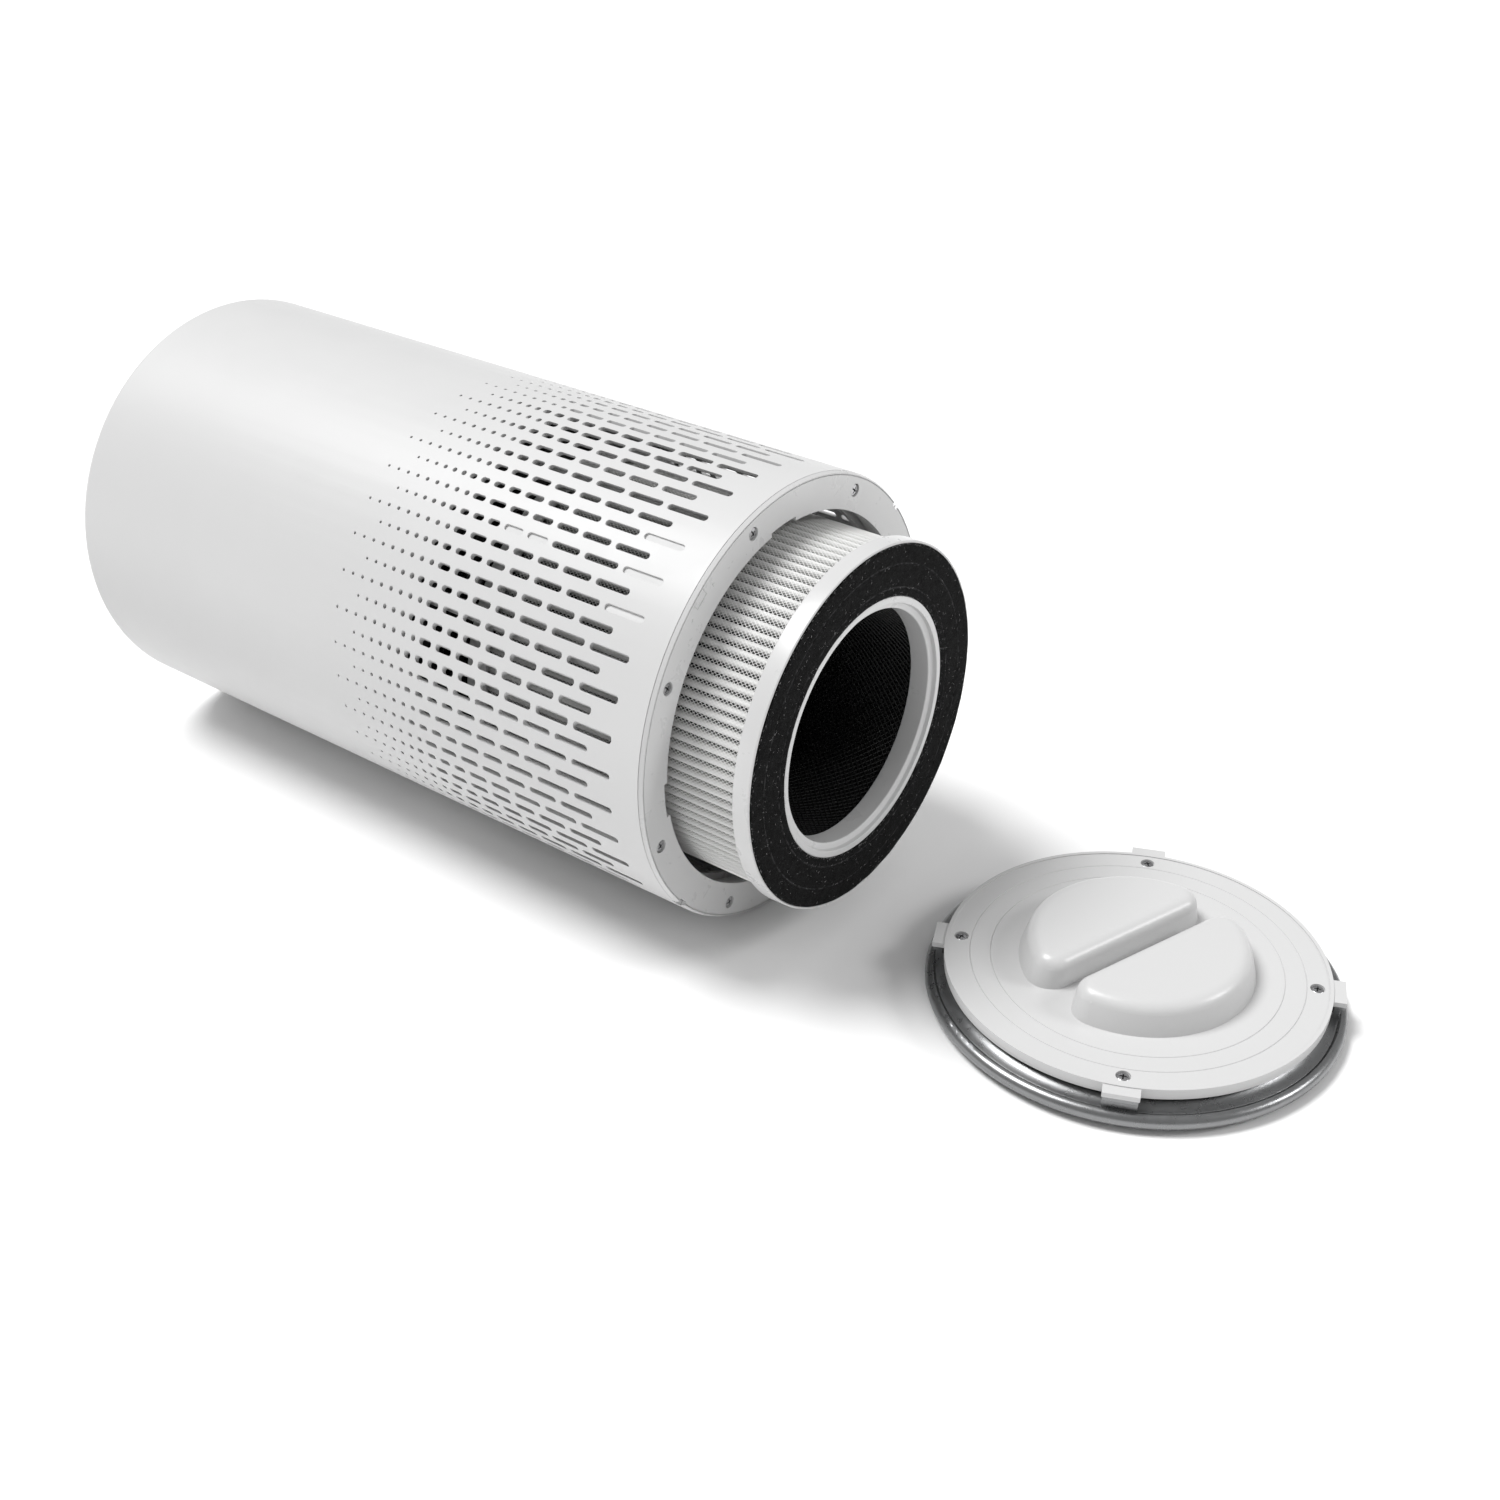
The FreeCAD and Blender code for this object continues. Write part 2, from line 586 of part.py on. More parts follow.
def centre_column():
    """The column from motor to panel that the outlet air flows around."""
    node("centre_column", turned([
        ("column_foot", "cup_top + 3"), ("column_outer", "cup_top + 3"),
        ("column_outer", "column_top"), ("column_inner", "column_top"),
        ("column_inner", "shelf_level + 3"), ("shelf_inner", "shelf_level + 3"),
        ("shelf_inner", "shelf_level"), ("column_inner", "shelf_level"),
        ("column_inner", "cup_top + 6"), ("column_foot", "cup_top + 6"),
    ]), HOUSING)


def outlet_grille():
    """Concentric bars, spokes and rims of the air outlet in the top."""
    rim = turned([
        ("grille_rim - 3.6", "grille_base"), ("grille_flange", "grille_base"),
        ("grille_flange", "body_length - top_lip"), ("grille_rim", "body_length - top_lip"),
        ("grille_rim", "grille_face"), ("grille_rim - 3.6", "grille_face"),
    ])
    hub = tube("hub_ring_outer", "hub_ring_inner", "column_top", "grille_face - column_top")
    pieces = [rim, hub]
    for index in range(1, 8):
        middle = "hub_ring_outer + %s * ( grille_rim - 3.6 - hub_ring_outer ) / 8" % index
        pieces.append(tube(middle + " + bar_width / 2", middle + " - bar_width / 2",
                           "grille_base + 1", "grille_face - grille_base - 1"))
    for index in range(16):
        pieces.append(box("hub_ring_outer - 1", "grille_rim - 2", "bar_width", "grille_base",
                          "3", 22.5 * index))
    node("outlet_grille", fuse(pieces), HOUSING)


def controls():
    """Panel, light ring, power button, its switch and the control board."""
    board_top = "shelf_level + 3 + board_thick"
    node("control_panel", turned([
        ("button_radius + button_gap", "panel_face - panel_thick"),
        ("button_radius + button_gap", "panel_face"),
        ("panel_radius", "panel_face"), ("panel_radius", board_top),
        ("panel_radius - 2.2", board_top),
        ("panel_radius - 2.2", "panel_face - panel_thick"),
    ]), HOUSING)
    node("light_ring", tube("light_outer", "light_inner", "column_top",
                            "panel_face - column_top"), HOUSING)
    under = "panel_face - panel_thick"
    cap = cylinder("button_radius", under + " - 1.2", "button_face - ( " + under + " ) + 1.2")
    flange = cylinder("button_radius + 1.6", under + " - 1.2", "0.8")
    stem = cylinder("3", board_top + " + 4.6", under + " - 1 - ( " + board_top + " + 4.6 )")
    node("power_button", fuse([cap, flange, stem]), HOUSING)
    node("button_switch", fuse([
        box("0 - 3", "3", "6", board_top, "2"),
        cylinder("1.75", board_top, "2.6"),
    ]), HOUSING)
    board = [cylinder("board_radius", "shelf_level + 3", "board_thick")]
    for angle, reach in ((40, 18), (130, 22), (250, 20)):
        board.append(box("%s" % reach, "%s + 9" % reach, "9", board_top, "1.6", angle))
    for index in range(8):
        board.append(box("30", "33", "2.4", board_top, "1.4", 45 * index + 20))
    node("control_board", fuse(board), HOUSING)


def power_supply():
    """The mains board in the column and the inlet in the rear wall."""
    level = "cup_top + 6"
    board = box("0 - 36", "36", "1.6", level, "74")
    transformer = box("0 - 14", "12", "20", level + " + 12", "24", 0, 10.0)
    smoothing = [cylinder("8", level + " + 44", "22", 62, 18.6),
                 cylinder("6", level + " + 44", "18", 115, 19.0)]
    sink = box("14", "30", "8", level + " + 10", "26", 0, 4.6)
    legs = box("0 - 20", "24", "4", level + " + 42", "3", 0, 2.6)
    shelf = box("0 - 20", "24", "14", level + " + 42", "2.5", 0, 7.4)
    node("power_board", fuse([board, transformer, sink, legs, shelf] + smoothing), HOUSING)
    bottom = "inlet_level - inlet_height / 2"
    body = box("inlet_face - inlet_depth", "inlet_face", "inlet_width", bottom, "inlet_height",
               90.0)
    face = "inlet_face - socket_depth"
    cavity = [box(face, "inlet_face + 1", "pin_spacing", "inlet_level - 4.5", "9", 90.0)]
    for side in (-1, 1):
        end = doc.addObject("Part::Cylinder", "end")
        end.Radius = 4.5
        end.setExpression("Height", bind("socket_depth + 1"))
        spot = FreeCAD.Vector(side * dim("pin_spacing") / 2, value(face), dim("inlet_level"))
        end.Placement = FreeCAD.Placement(spot, FreeCAD.Rotation(FreeCAD.Vector(1, 0, 0), -90))
        cavity.append(end)
    node("power_inlet", cut(body, fuse(cavity)), HOUSING)
    pins = []
    for side in (-1, 1):
        pin = doc.addObject("Part::Cylinder", "pin")
        pin.setExpression("Radius", bind("pin_radius"))
        pin.Height = 9
        spot = FreeCAD.Vector(side * dim("pin_spacing") / 2, value(face), dim("inlet_level"))
        pin.Placement = FreeCAD.Placement(spot, FreeCAD.Rotation(FreeCAD.Vector(1, 0, 0), -90))
        pins.append(pin)
    node("inlet_pins", group(pins), HOUSING)


def air_sensor():
    """The dust sensor against the rear wall, behind its vents."""
    angle = FRONT_CENTRE - 170
    case = box("88", "110.5", "38", "300", "42", angle)
    passage = box("95", "112", "16", "310", "22", angle)
    node("air_sensor", cut(case, passage), HOUSING)


def filter_cartridge():
    """The ring-shaped filter: end caps, felt seals, pleats, carbon and core."""
    front = turned([
        ("bore_radius", "3"), ("collar_step", "3"), ("collar_step", "0.6"),
        ("gasket_inner", "0.6"), ("gasket_inner", "gasket_thick"),
        ("gasket_outer", "gasket_thick"), ("gasket_outer", "1"), ("filter_radius", "1"),
        ("filter_radius", "cap_depth"), ("filter_radius - 1.6", "cap_depth"),
        ("filter_radius - 1.6", "4.5"), ("core_outer", "4.5"), ("core_outer", "14"),
        ("bore_radius", "14"),
    ])
    node("filter_front_cap", front, FILTER)
    node("front_gasket", tube("gasket_outer", "gasket_inner", "0", "gasket_thick"), FILTER)
    media_height = "filter_length - 9"
    node("pleated_media", tube("media_outer", "media_inner", "4.5", media_height), FILTER)
    node("carbon_layer", tube("media_inner", "carbon_inner", "4.5", media_height), FILTER)
    node("filter_core", tube("core_outer", "core_inner", "14", "filter_length - 28"), FILTER)
    end = "filter_length"
    rear = turned([
        ("bore_radius", end + " - 14"), ("core_outer", end + " - 14"),
        ("core_outer", end + " - 4.5"), ("filter_radius - 1.6", end + " - 4.5"),
        ("filter_radius - 1.6", end + " - rear_cap_depth"),
        ("filter_radius", end + " - rear_cap_depth"), ("filter_radius", end + " - gasket_thick"),
        ("bore_radius", end + " - gasket_thick"),
    ])
    node("filter_rear_cap", rear, FILTER)
    node("rear_gasket", tube("gasket_outer", "gasket_inner", end + " - gasket_thick",
                             "gasket_thick"), FILTER)


def half_disc(radius, gap, corner, side):
    """A D-shaped face with rounded corners, its flat side `gap` from the middle."""
    reach = radius - corner
    inset = gap + corner
    run = math.sqrt(reach * reach - inset * inset)
    swing = math.atan2(inset, run)
    tip = FreeCAD.Vector(radius * math.cos(swing), radius * math.sin(swing), 0)
    left_tip = FreeCAD.Vector(-tip.x, tip.y, 0)
    foot = FreeCAD.Vector(run, gap, 0)
    left_foot = FreeCAD.Vector(-run, gap, 0)
    bend = math.radians(-45) + swing / 2
    knee = FreeCAD.Vector(run + corner * math.cos(bend), inset + corner * math.sin(bend), 0)
    left_knee = FreeCAD.Vector(-knee.x, knee.y, 0)
    crown = FreeCAD.Vector(0, radius, 0)
    face = Part.Face(Part.Wire([
        Part.LineSegment(left_foot, foot).toShape(),
        Part.Arc(foot, knee, tip).toShape(),
        Part.Arc(tip, crown, left_tip).toShape(),
        Part.Arc(left_tip, left_knee, left_foot).toShape(),
    ]))
    if side < 0:
        face.rotate(FreeCAD.Vector(0, 0, 0), UP, 180)
    return face


def hump(side, inset, height, rounding):
    """One D-shaped hump with sloping walls, `inset` smaller all round, its top edges rounded."""
    radius = dim("hump_radius") - inset
    gap = dim("grip_bar") / 2 + inset
    foot = half_disc(radius, gap, 12 - inset, side)
    crown = half_disc(radius - dim("hump_draft"), gap + dim("bar_draft"), 10 - inset, side)
    crown.translate(FreeCAD.Vector(0, 0, height))
    solid = Part.makeLoft([foot.OuterWire, crown.OuterWire], True, True)
    top_edges = [edge for edge in solid.Edges
                 if all(abs(vertex.Z - height) < 1e-6 for vertex in edge.Vertexes)]
    return solid.makeFillet(rounding, top_edges)


def lock_plate():
    """The white plate with four lugs, two hollow finger humps and the grip bar between."""
    disc = turned([
        ("disc_core - 1", "disc_bottom"), ("disc_radius", "disc_bottom"),
        ("disc_radius", "disc_top + disc_lip"), ("disc_radius - 1.8", "disc_top + disc_lip"),
        ("disc_radius - 1.8", "disc_top"), ("outer_groove + 0.3", "disc_top"),
        ("outer_groove", "disc_top - groove_depth"), ("outer_groove - 0.3", "disc_top"),
        ("inner_groove + 0.3", "disc_top"), ("inner_groove", "disc_top - groove_depth"),
        ("inner_groove - 0.3", "disc_top"), ("disc_core - 1", "disc_top"),
    ])
    core = cylinder("disc_core", "disc_bottom", "disc_top - disc_bottom")
    boss = tube("boss_radius", "boss_radius - 3", "plate_top", "disc_bottom - plate_top")
    pieces = [disc, core, boss]
    for quarter in range(4):
        pieces.append(box("disc_radius - 1.5", "lug_reach", "lug_width", "lug_split",
                          "lug_top - lug_split", 90 * quarter))
    body = fuse(pieces)
    height = dim("hump_height")
    wall = dim("hump_wall")
    grip = turn(GRIP_TURN, 0, 0, dim("disc_top") - 0.2)
    humps = doc.addObject("Part::Feature", "humps")
    humps.Shape = Part.Compound([hump(side, 0.0, height + 0.2, 7.0) for side in (-1, 1)])
    humps.Placement = grip
    pockets = doc.addObject("Part::Feature", "finger_pockets")
    depth = height + dim("disc_top") - dim("disc_bottom") + 1 - wall
    pockets.Shape = Part.Compound([hump(side, wall, depth, 5.0) for side in (-1, 1)])
    pockets.Placement = turn(GRIP_TURN, 0, 0, dim("disc_bottom") - 1)
    recesses = []
    for quarter in range(4):
        recesses.append(cylinder("head_radius + 0.5", "disc_top - 1.4", "3", 90 * quarter,
                                 dim("cover_screw_circle")))
        recesses.append(cylinder("shank_radius + 0.4", "disc_bottom - 1", "6", 90 * quarter,
                                 dim("cover_screw_circle")))
    plate = cut(fuse([body, humps]), pockets)
    node("lock_plate", cut(plate, fuse(recesses)), COVER)


def base_plate():
    """The silver base: an annulus with a rolled rim, screw pillars and lug posts."""
    rim_low = "rim_height - rim_round"
    rim_high = "rim_height + rim_round"
    plate = turned([
        ("grip_hole", "plate_bottom"), ("cover_rim", rim_low, "arc"),
        ("cover_rim + rim_round", "rim_height", "arc"), ("cover_rim", rim_high),
        ("cover_rim - 2.4", "plate_top"), ("grip_hole", "plate_top"),
    ])
    pieces = [plate]
    pilots = []
    for quarter in range(4):
        angle = 90 * quarter
        pieces.append(cylinder("pillar_radius", "plate_top - 1", "disc_bottom - plate_top + 1",
                               angle, dim("cover_screw_circle")))
        pieces.append(box("post_inner", "post_outer", "lug_width - 1", "plate_top - 1",
                          "post_step - plate_top + 1", angle))
        pieces.append(box("disc_radius + 0.3", "post_outer", "lug_width - 1", "plate_top",
                          "lug_split - plate_top", angle))
        pieces.append(box("post_outer - 1", "post_reach", "lug_width - 1", "lug_bottom",
                          "lug_split - lug_bottom", angle))
        pilots.append(cylinder("shank_hole", "plate_bottom + 2", "20", angle,
                               dim("cover_screw_circle")))
    node("base_plate", cut(fuse(pieces), fuse(pilots)), COVER)


def cover_trim():
    """Foot ring, foam seal and screws of the cover."""
    node("foot_ring", tube("foot_outer", "foot_inner", "0", "plate_bottom"), COVER)
    node("cover_seal", tube("seal_outer", "seal_inner", "seal_bottom",
                            "seal_top - seal_bottom"), COVER)
    screws = [screw("cover_screw_circle", 90 * quarter, "disc_top - 1.4", "13.5", "1.2", down=True)
              for quarter in range(4)]
    node("cover_screws", group(screws), COVER)


outer_shells()
bottom_ring()
chamber_frame()
fan_deck()
fan_housing()
motor()
impeller()
centre_column()
outlet_grille()
controls()
power_supply()
air_sensor()
filter_cartridge()
base_plate()
lock_plate()
cover_trim()
doc.recompute()

for item in doc.Objects:
    if "Invalid" in item.State or "Error" in item.State:
        raise RuntimeError("%s failed: %s" % (item.Label, item.State))
for label, item in NODES.items():
    if item.Shape.isNull() or not item.Shape.isValid():
        raise RuntimeError("%s has no valid shape" % label)

os.makedirs("parts", exist_ok=True)
for label, item in NODES.items():
    item.Shape.exportStep("parts/%s.step" % label)
print(len(NODES), "nodes written")
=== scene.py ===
import json
import math
import random

import bpy
from mathutils import Matrix, Vector


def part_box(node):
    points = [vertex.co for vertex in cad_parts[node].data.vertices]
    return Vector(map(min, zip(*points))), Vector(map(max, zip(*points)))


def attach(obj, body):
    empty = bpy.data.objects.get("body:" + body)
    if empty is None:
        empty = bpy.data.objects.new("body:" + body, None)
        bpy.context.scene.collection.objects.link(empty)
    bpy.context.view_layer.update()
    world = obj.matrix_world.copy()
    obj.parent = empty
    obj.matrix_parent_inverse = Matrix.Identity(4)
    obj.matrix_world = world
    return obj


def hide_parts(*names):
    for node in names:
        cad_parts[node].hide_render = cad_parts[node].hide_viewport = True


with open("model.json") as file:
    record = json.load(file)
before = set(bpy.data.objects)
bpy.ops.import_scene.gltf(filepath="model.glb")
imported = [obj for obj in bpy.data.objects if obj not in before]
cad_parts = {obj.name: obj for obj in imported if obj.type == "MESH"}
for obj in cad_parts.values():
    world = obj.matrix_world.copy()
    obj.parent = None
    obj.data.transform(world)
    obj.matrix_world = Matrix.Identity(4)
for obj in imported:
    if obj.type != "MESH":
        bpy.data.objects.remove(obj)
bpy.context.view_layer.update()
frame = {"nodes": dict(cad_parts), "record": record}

MM = 0.001
scene = bpy.context.scene
nodes = frame["nodes"]

# Where things are, from the frame.
ring_low, ring_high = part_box("bottom_ring")
AXIS_Y = (ring_low.y + ring_high.y) / 2
AXIS_Z = (ring_low.z + ring_high.z) / 2
OPEN_END = ring_high.x
FILTER_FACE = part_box("front_gasket")[1].x
cover_low, cover_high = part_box("base_plate")
COVER_X = (cover_low.x + cover_high.x) / 2
COVER_Y = (cover_low.y + cover_high.y) / 2
COVER_TURN = math.radians(23.7)
GRIP_TURN = math.radians(48.0)

# Radii on the filter, in mm: bore, the tube round it, its end cap, the cap's inner wall, and
# the felt ring with its two pressed circles.
BORE = 59.5
TUBE = 61.2
CAP = 93.2
CAP_WALL = 91.6
FELT_INNER = 66.4
FELT_OUTER = 92.0
PRESSED_CIRCLES = (70.8, 82.4)

# Upright pieces are laid down: local Z goes into the housing, local X points up.
LAID = Matrix(((0, 0, -1), (0, 1, 0), (1, 0, 0))).to_4x4()


def lying(front):
    """Place for a piece drawn about the housing's axis, with depth 0 at X = front."""
    return Matrix.Translation((front, AXIS_Y, AXIS_Z)) @ LAID


def on_cover(x=0.0, y=0.0, z=0.0):
    """Place for a piece drawn about the cover's centre, in millimetres."""
    turn = Matrix.Rotation(COVER_TURN, 4, "Z")
    spot = turn @ Vector((x, y, z)) * MM
    return Matrix.Translation((COVER_X, COVER_Y, 0.0)) @ Matrix.Translation(spot) @ turn


# ---------------------------------------------------------------- materials


def shader_tree(name):
    """A new node material with its tree, principled shader and object coordinates."""
    material = bpy.data.materials.new(name)
    material.use_nodes = True
    tree = material.node_tree
    shader = tree.nodes["Principled BSDF"]
    coordinates = tree.nodes.new("ShaderNodeTexCoord")
    return material, tree, shader, coordinates.outputs["Object"]


def noise(tree, where, scale, detail=3.0, roughness=0.55, distortion=0.0):
    """A noise texture's value."""
    texture = tree.nodes.new("ShaderNodeTexNoise")
    texture.inputs["Scale"].default_value = scale
    texture.inputs["Detail"].default_value = detail
    texture.inputs["Roughness"].default_value = roughness
    texture.inputs["Distortion"].default_value = distortion
    tree.links.new(where, texture.inputs["Vector"])
    return texture.outputs["Fac"]


def cells(tree, where, scale, feature="F1", output="Distance"):
    """A cell texture's value."""
    texture = tree.nodes.new("ShaderNodeTexVoronoi")
    texture.feature = feature
    texture.inputs["Scale"].default_value = scale
    tree.links.new(where, texture.inputs["Vector"])
    return texture.outputs[output]


def spread(tree, value, low, high, from_low=0.3, from_high=0.7):
    """A value stretched to run from low to high."""
    node = tree.nodes.new("ShaderNodeMapRange")
    node.inputs["From Min"].default_value = from_low
    node.inputs["From Max"].default_value = from_high
    node.inputs["To Min"].default_value = low
    node.inputs["To Max"].default_value = high
    tree.links.new(value, node.inputs["Value"])
    return node.outputs["Result"]


def sums(tree, operation, first, second):
    """Arithmetic on two values, either of which may be a plain number."""
    node = tree.nodes.new("ShaderNodeMath")
    node.operation = operation
    for socket, value in zip(node.inputs, (first, second)):
        if isinstance(value, (int, float)):
            socket.default_value = value
        else:
            tree.links.new(value, socket)
    return node.outputs["Value"]


def blend(tree, factor, first, second):
    """A colour between two, each a colour or a socket."""
    node = tree.nodes.new("ShaderNodeMix")
    node.data_type = "RGBA"
    tree.links.new(factor, node.inputs[0])
    for socket, value in ((node.inputs[6], first), (node.inputs[7], second)):
        if isinstance(value, tuple):
            socket.default_value = (*value, 1.0)
        else:
            tree.links.new(value, socket)
    return node.outputs[2]


def relief(tree, height, depth, under=None, strength=1.0):
    """A normal with the height's relief, `depth` metres deep."""
    node = tree.nodes.new("ShaderNodeBump")
    node.inputs["Strength"].default_value = strength
    node.inputs["Distance"].default_value = depth
    tree.links.new(height, node.inputs["Height"])
    if under is not None:
        tree.links.new(under, node.inputs["Normal"])
    return node.outputs["Normal"]


def soft_edges(tree, radius):
    """A normal that rounds the mesh's edges off."""
    node = tree.nodes.new("ShaderNodeBevel")
    node.samples = 4
    node.inputs["Radius"].default_value = radius
    return node.outputs["Normal"]


def shade(color, amount):
    """The colour made lighter or darker."""
    return tuple(min(1.0, channel * (1 + amount)) for channel in color)


def moulded(name, color, rough, tone=0.03, patch=22.0, rough_spread=0.05, grain=1600.0,
            depth=0.00002, edge=0.0004, **sockets):
    """Moulded plastic, metal or rubber: faint patches, fine grain and softened edges."""
    material, tree, shader, where = shader_tree(name)
    patches = noise(tree, where, patch, 4.0)
    smears = noise(tree, where, patch * 5, 5.0, 0.65, 0.4)
    mix = spread(tree, patches, 0.0, 1.0)
    hue = blend(tree, mix, shade(color, -tone), shade(color, tone))
    tree.links.new(hue, shader.inputs["Base Color"])
    gloss = spread(tree, smears, rough - rough_spread, rough + rough_spread)
    tree.links.new(gloss, shader.inputs["Roughness"])
    under = soft_edges(tree, edge) if edge else None
    normal = relief(tree, noise(tree, where, grain, 2.0), depth, under)
    tree.links.new(normal, shader.inputs["Normal"])
    for socket, value in sockets.items():
        shader.inputs[socket.replace("_", " ")].default_value = value
    return material


def from_axis(tree, where):
    """The distance from the housing's axis."""
    split = tree.nodes.new("ShaderNodeSeparateXYZ")
    tree.links.new(where, split.inputs["Vector"])
    y = sums(tree, "SUBTRACT", split.outputs["Y"], AXIS_Y)
    z = sums(tree, "SUBTRACT", split.outputs["Z"], AXIS_Z)
    square = sums(tree, "ADD", sums(tree, "MULTIPLY", y, y), sums(tree, "MULTIPLY", z, z))
    return sums(tree, "SQRT", square, 0.0)


def felt_cloth(name, color):
    """Short black nap with lint in it, paler where it is pressed in two circles."""
    material, tree, shader, where = shader_tree(name)
    out = from_axis(tree, where)
    clumps = noise(tree, where, 1100.0, 6.0, 0.8, 0.8)
    broad = noise(tree, where, 190.0, 4.0)
    nap = blend(tree, spread(tree, clumps, 0.0, 1.0, 0.5, 0.76), shade(color, -0.8),
                shade(color, 13.0))
    drift = blend(tree, spread(tree, broad, 0.0, 0.4, 0.4, 0.7), nap, shade(color, 2.5))
    speck = cells(tree, where, 520.0)
    flecks = spread(tree, speck, 1.0, 0.0, 0.03, 0.13)
    rare = spread(tree, noise(tree, where, 240.0, 2.0), 0.0, 1.0, 0.58, 0.68)
    lint = sums(tree, "MULTIPLY", flecks, rare)
    hue = blend(tree, lint, drift, (0.42, 0.42, 0.42))
    for line in PRESSED_CIRCLES:
        off = sums(tree, "ABSOLUTE", sums(tree, "SUBTRACT", out, line * MM), 0.0)
        near = spread(tree, off, 0.8, 0.0, 0.0001, 0.0006)
        broken = spread(tree, noise(tree, where, 420.0, 2.0), 0.0, 1.0, 0.42, 0.6)
        hue = blend(tree, sums(tree, "MULTIPLY", near, broken), hue, shade(color, 14.0))
    tree.links.new(hue, shader.inputs["Base Color"])
    tree.links.new(spread(tree, clumps, 0.8, 1.0), shader.inputs["Roughness"])
    fibres = relief(tree, clumps, 0.0005, relief(tree, broad, 0.0004))
    tree.links.new(fibres, shader.inputs["Normal"])
    shader.inputs["Specular IOR Level"].default_value = 0.06
    shader.inputs["Sheen Weight"].default_value = 0.02
    shader.inputs["Sheen Roughness"].default_value = 0.5
    return material


# From and to which radius the painted shade deep in the pleats' folds fades, so the paper gets
# lighter, in metres.
PAINTED_FOLD_SHADE = (0.0842, 0.0891)


def filter_paper(name, color):
    """White filter fleece, with painted shade that greys it deep in the folds."""
    material, tree, shader, where = shader_tree(name)
    fleece = noise(tree, where, 700.0, 5.0, 0.7)
    paper = blend(tree, spread(tree, fleece, 0.0, 1.0), shade(color, -0.10), color)
    # Painted shade: the paper's colour darkens towards the folds' troughs, where shade falls.
    fold_shade_mask = spread(tree, from_axis(tree, where), 0.0, 1.0, *PAINTED_FOLD_SHADE)
    tree.links.new(blend(tree, fold_shade_mask, shade(color, -0.95), paper), shader.inputs["Base Color"])
    tree.links.new(spread(tree, fleece, 0.75, 0.95), shader.inputs["Roughness"])
    tree.links.new(relief(tree, fleece, 0.00012), shader.inputs["Normal"])
    shader.inputs["Specular IOR Level"].default_value = 0.2
    return material


def granules(name, color):
    """Pressed charcoal grains."""
    material, tree, shader, where = shader_tree(name)
    grain = cells(tree, where, 620.0)
    tint = cells(tree, where, 620.0, output="Color")
    shine = spread(tree, noise(tree, tint, 4.0, 1.0), 0.0, 1.0, 0.3, 0.8)
    tree.links.new(blend(tree, shine, shade(color, -0.5), shade(color, 1.2)),
                   shader.inputs["Base Color"])
    tree.links.new(spread(tree, shine, 0.75, 0.45, 0.0, 1.0), shader.inputs["Roughness"])
    tree.links.new(relief(tree, spread(tree, grain, 1.0, 0.0, 0.0, 0.7), 0.0009),
                   shader.inputs["Normal"])
    return material


def circuit_board(name, color):
    """Solder mask over copper tracks."""
    material, tree, shader, where = shader_tree(name)
    tracks = cells(tree, where, 190.0, "DISTANCE_TO_EDGE")
    copper = spread(tree, tracks, 1.0, 0.0, 0.02, 0.05)
    cloud = noise(tree, where, 60.0, 4.0)
    mask = blend(tree, spread(tree, cloud, 0.0, 1.0), shade(color, -0.15), shade(color, 0.15))
    tree.links.new(blend(tree, copper, mask, shade(color, 0.9)), shader.inputs["Base Color"])
    tree.links.new(spread(tree, cloud, 0.28, 0.45), shader.inputs["Roughness"])
    tree.links.new(relief(tree, copper, 0.00008), shader.inputs["Normal"])
    return material


WHITE = (0.60, 0.60, 0.60)
MATERIALS = {
    "white_shell": moulded("satin_white_shell", WHITE, 0.42, 0.012, 9.0, 0.04, 1500.0,
                           0.000014, 0.0005),
    "white_plastic": moulded("smooth_white_plastic", WHITE, 0.30, 0.015, 16.0, 0.05, 900.0,
                             0.000006, 0.0004),
    "black_plastic": moulded("matte_black_plastic", (0.012, 0.012, 0.0125), 0.5, 0.15, 30.0,
                             0.08, 1400.0, 0.00003, 0.0004),
    "dark_board": circuit_board("solder_mask", (0.02, 0.11, 0.055)),
    "steel": moulded("zinc_plated_steel", (0.46, 0.46, 0.47), 0.25, 0.12, 400.0, 0.1,
                     2600.0, 0.00002, 0.0, Metallic=1.0),
    "silver_paint": moulded("satin_silver_paint", (0.25, 0.253, 0.257), 0.3, 0.05, 45.0,
                            0.05, 2600.0, 0.00003, 0.0005, Metallic=0.9),
    "felt": felt_cloth("black_felt", (0.0035, 0.0035, 0.0036)),
    "filter_media": filter_paper("filter_fleece", (0.76, 0.76, 0.75)),
    "carbon": granules("charcoal", (0.0015, 0.0015, 0.0016)),
    "foam": moulded("closed_cell_foam", (0.004, 0.004, 0.004), 0.9, 0.2, 60.0, 0.08,
                    1100.0, 0.0002, 0.0),
    "rubber": moulded("matte_rubber", (0.045, 0.045, 0.046), 0.7, 0.15, 40.0, 0.08,
                      1300.0, 0.00006, 0.0003),
    "light_guide": moulded("milky_light_guide", (0.72, 0.76, 0.80), 0.25, 0.03, 30.0, 0.04,
                           900.0, 0.000005, 0.0003, Subsurface_Weight=0.3,
                           Transmission_Weight=0.2),
    "black_gloss": moulded("glossy_black_cap", (0.012, 0.012, 0.014), 0.12, 0.1, 25.0, 0.04,
                           700.0, 0.000004, 0.0004, Coat_Weight=0.6),
    "motor_metal": moulded("cast_motor_metal", (0.5, 0.5, 0.51), 0.45, 0.08, 50.0, 0.08,
                           900.0, 0.00005, 0.0004, Metallic=1.0),
}
GLUE = moulded("hot_melt_glue", (0.30, 0.30, 0.295), 0.3, 0.03, 60.0, 0.05, 500.0, 0.00006,
               0.0, Subsurface_Weight=0.2)
CORE_NET = moulded("glossy_black_net", (0.012, 0.012, 0.012), 0.14, 0.2, 90.0, 0.06, 1200.0,
                   0.00002, 0.0)
NET = moulded("white_net", (0.80, 0.80, 0.79), 0.4, 0.04, 200.0, 0.08, 1500.0, 0.00001, 0.0)
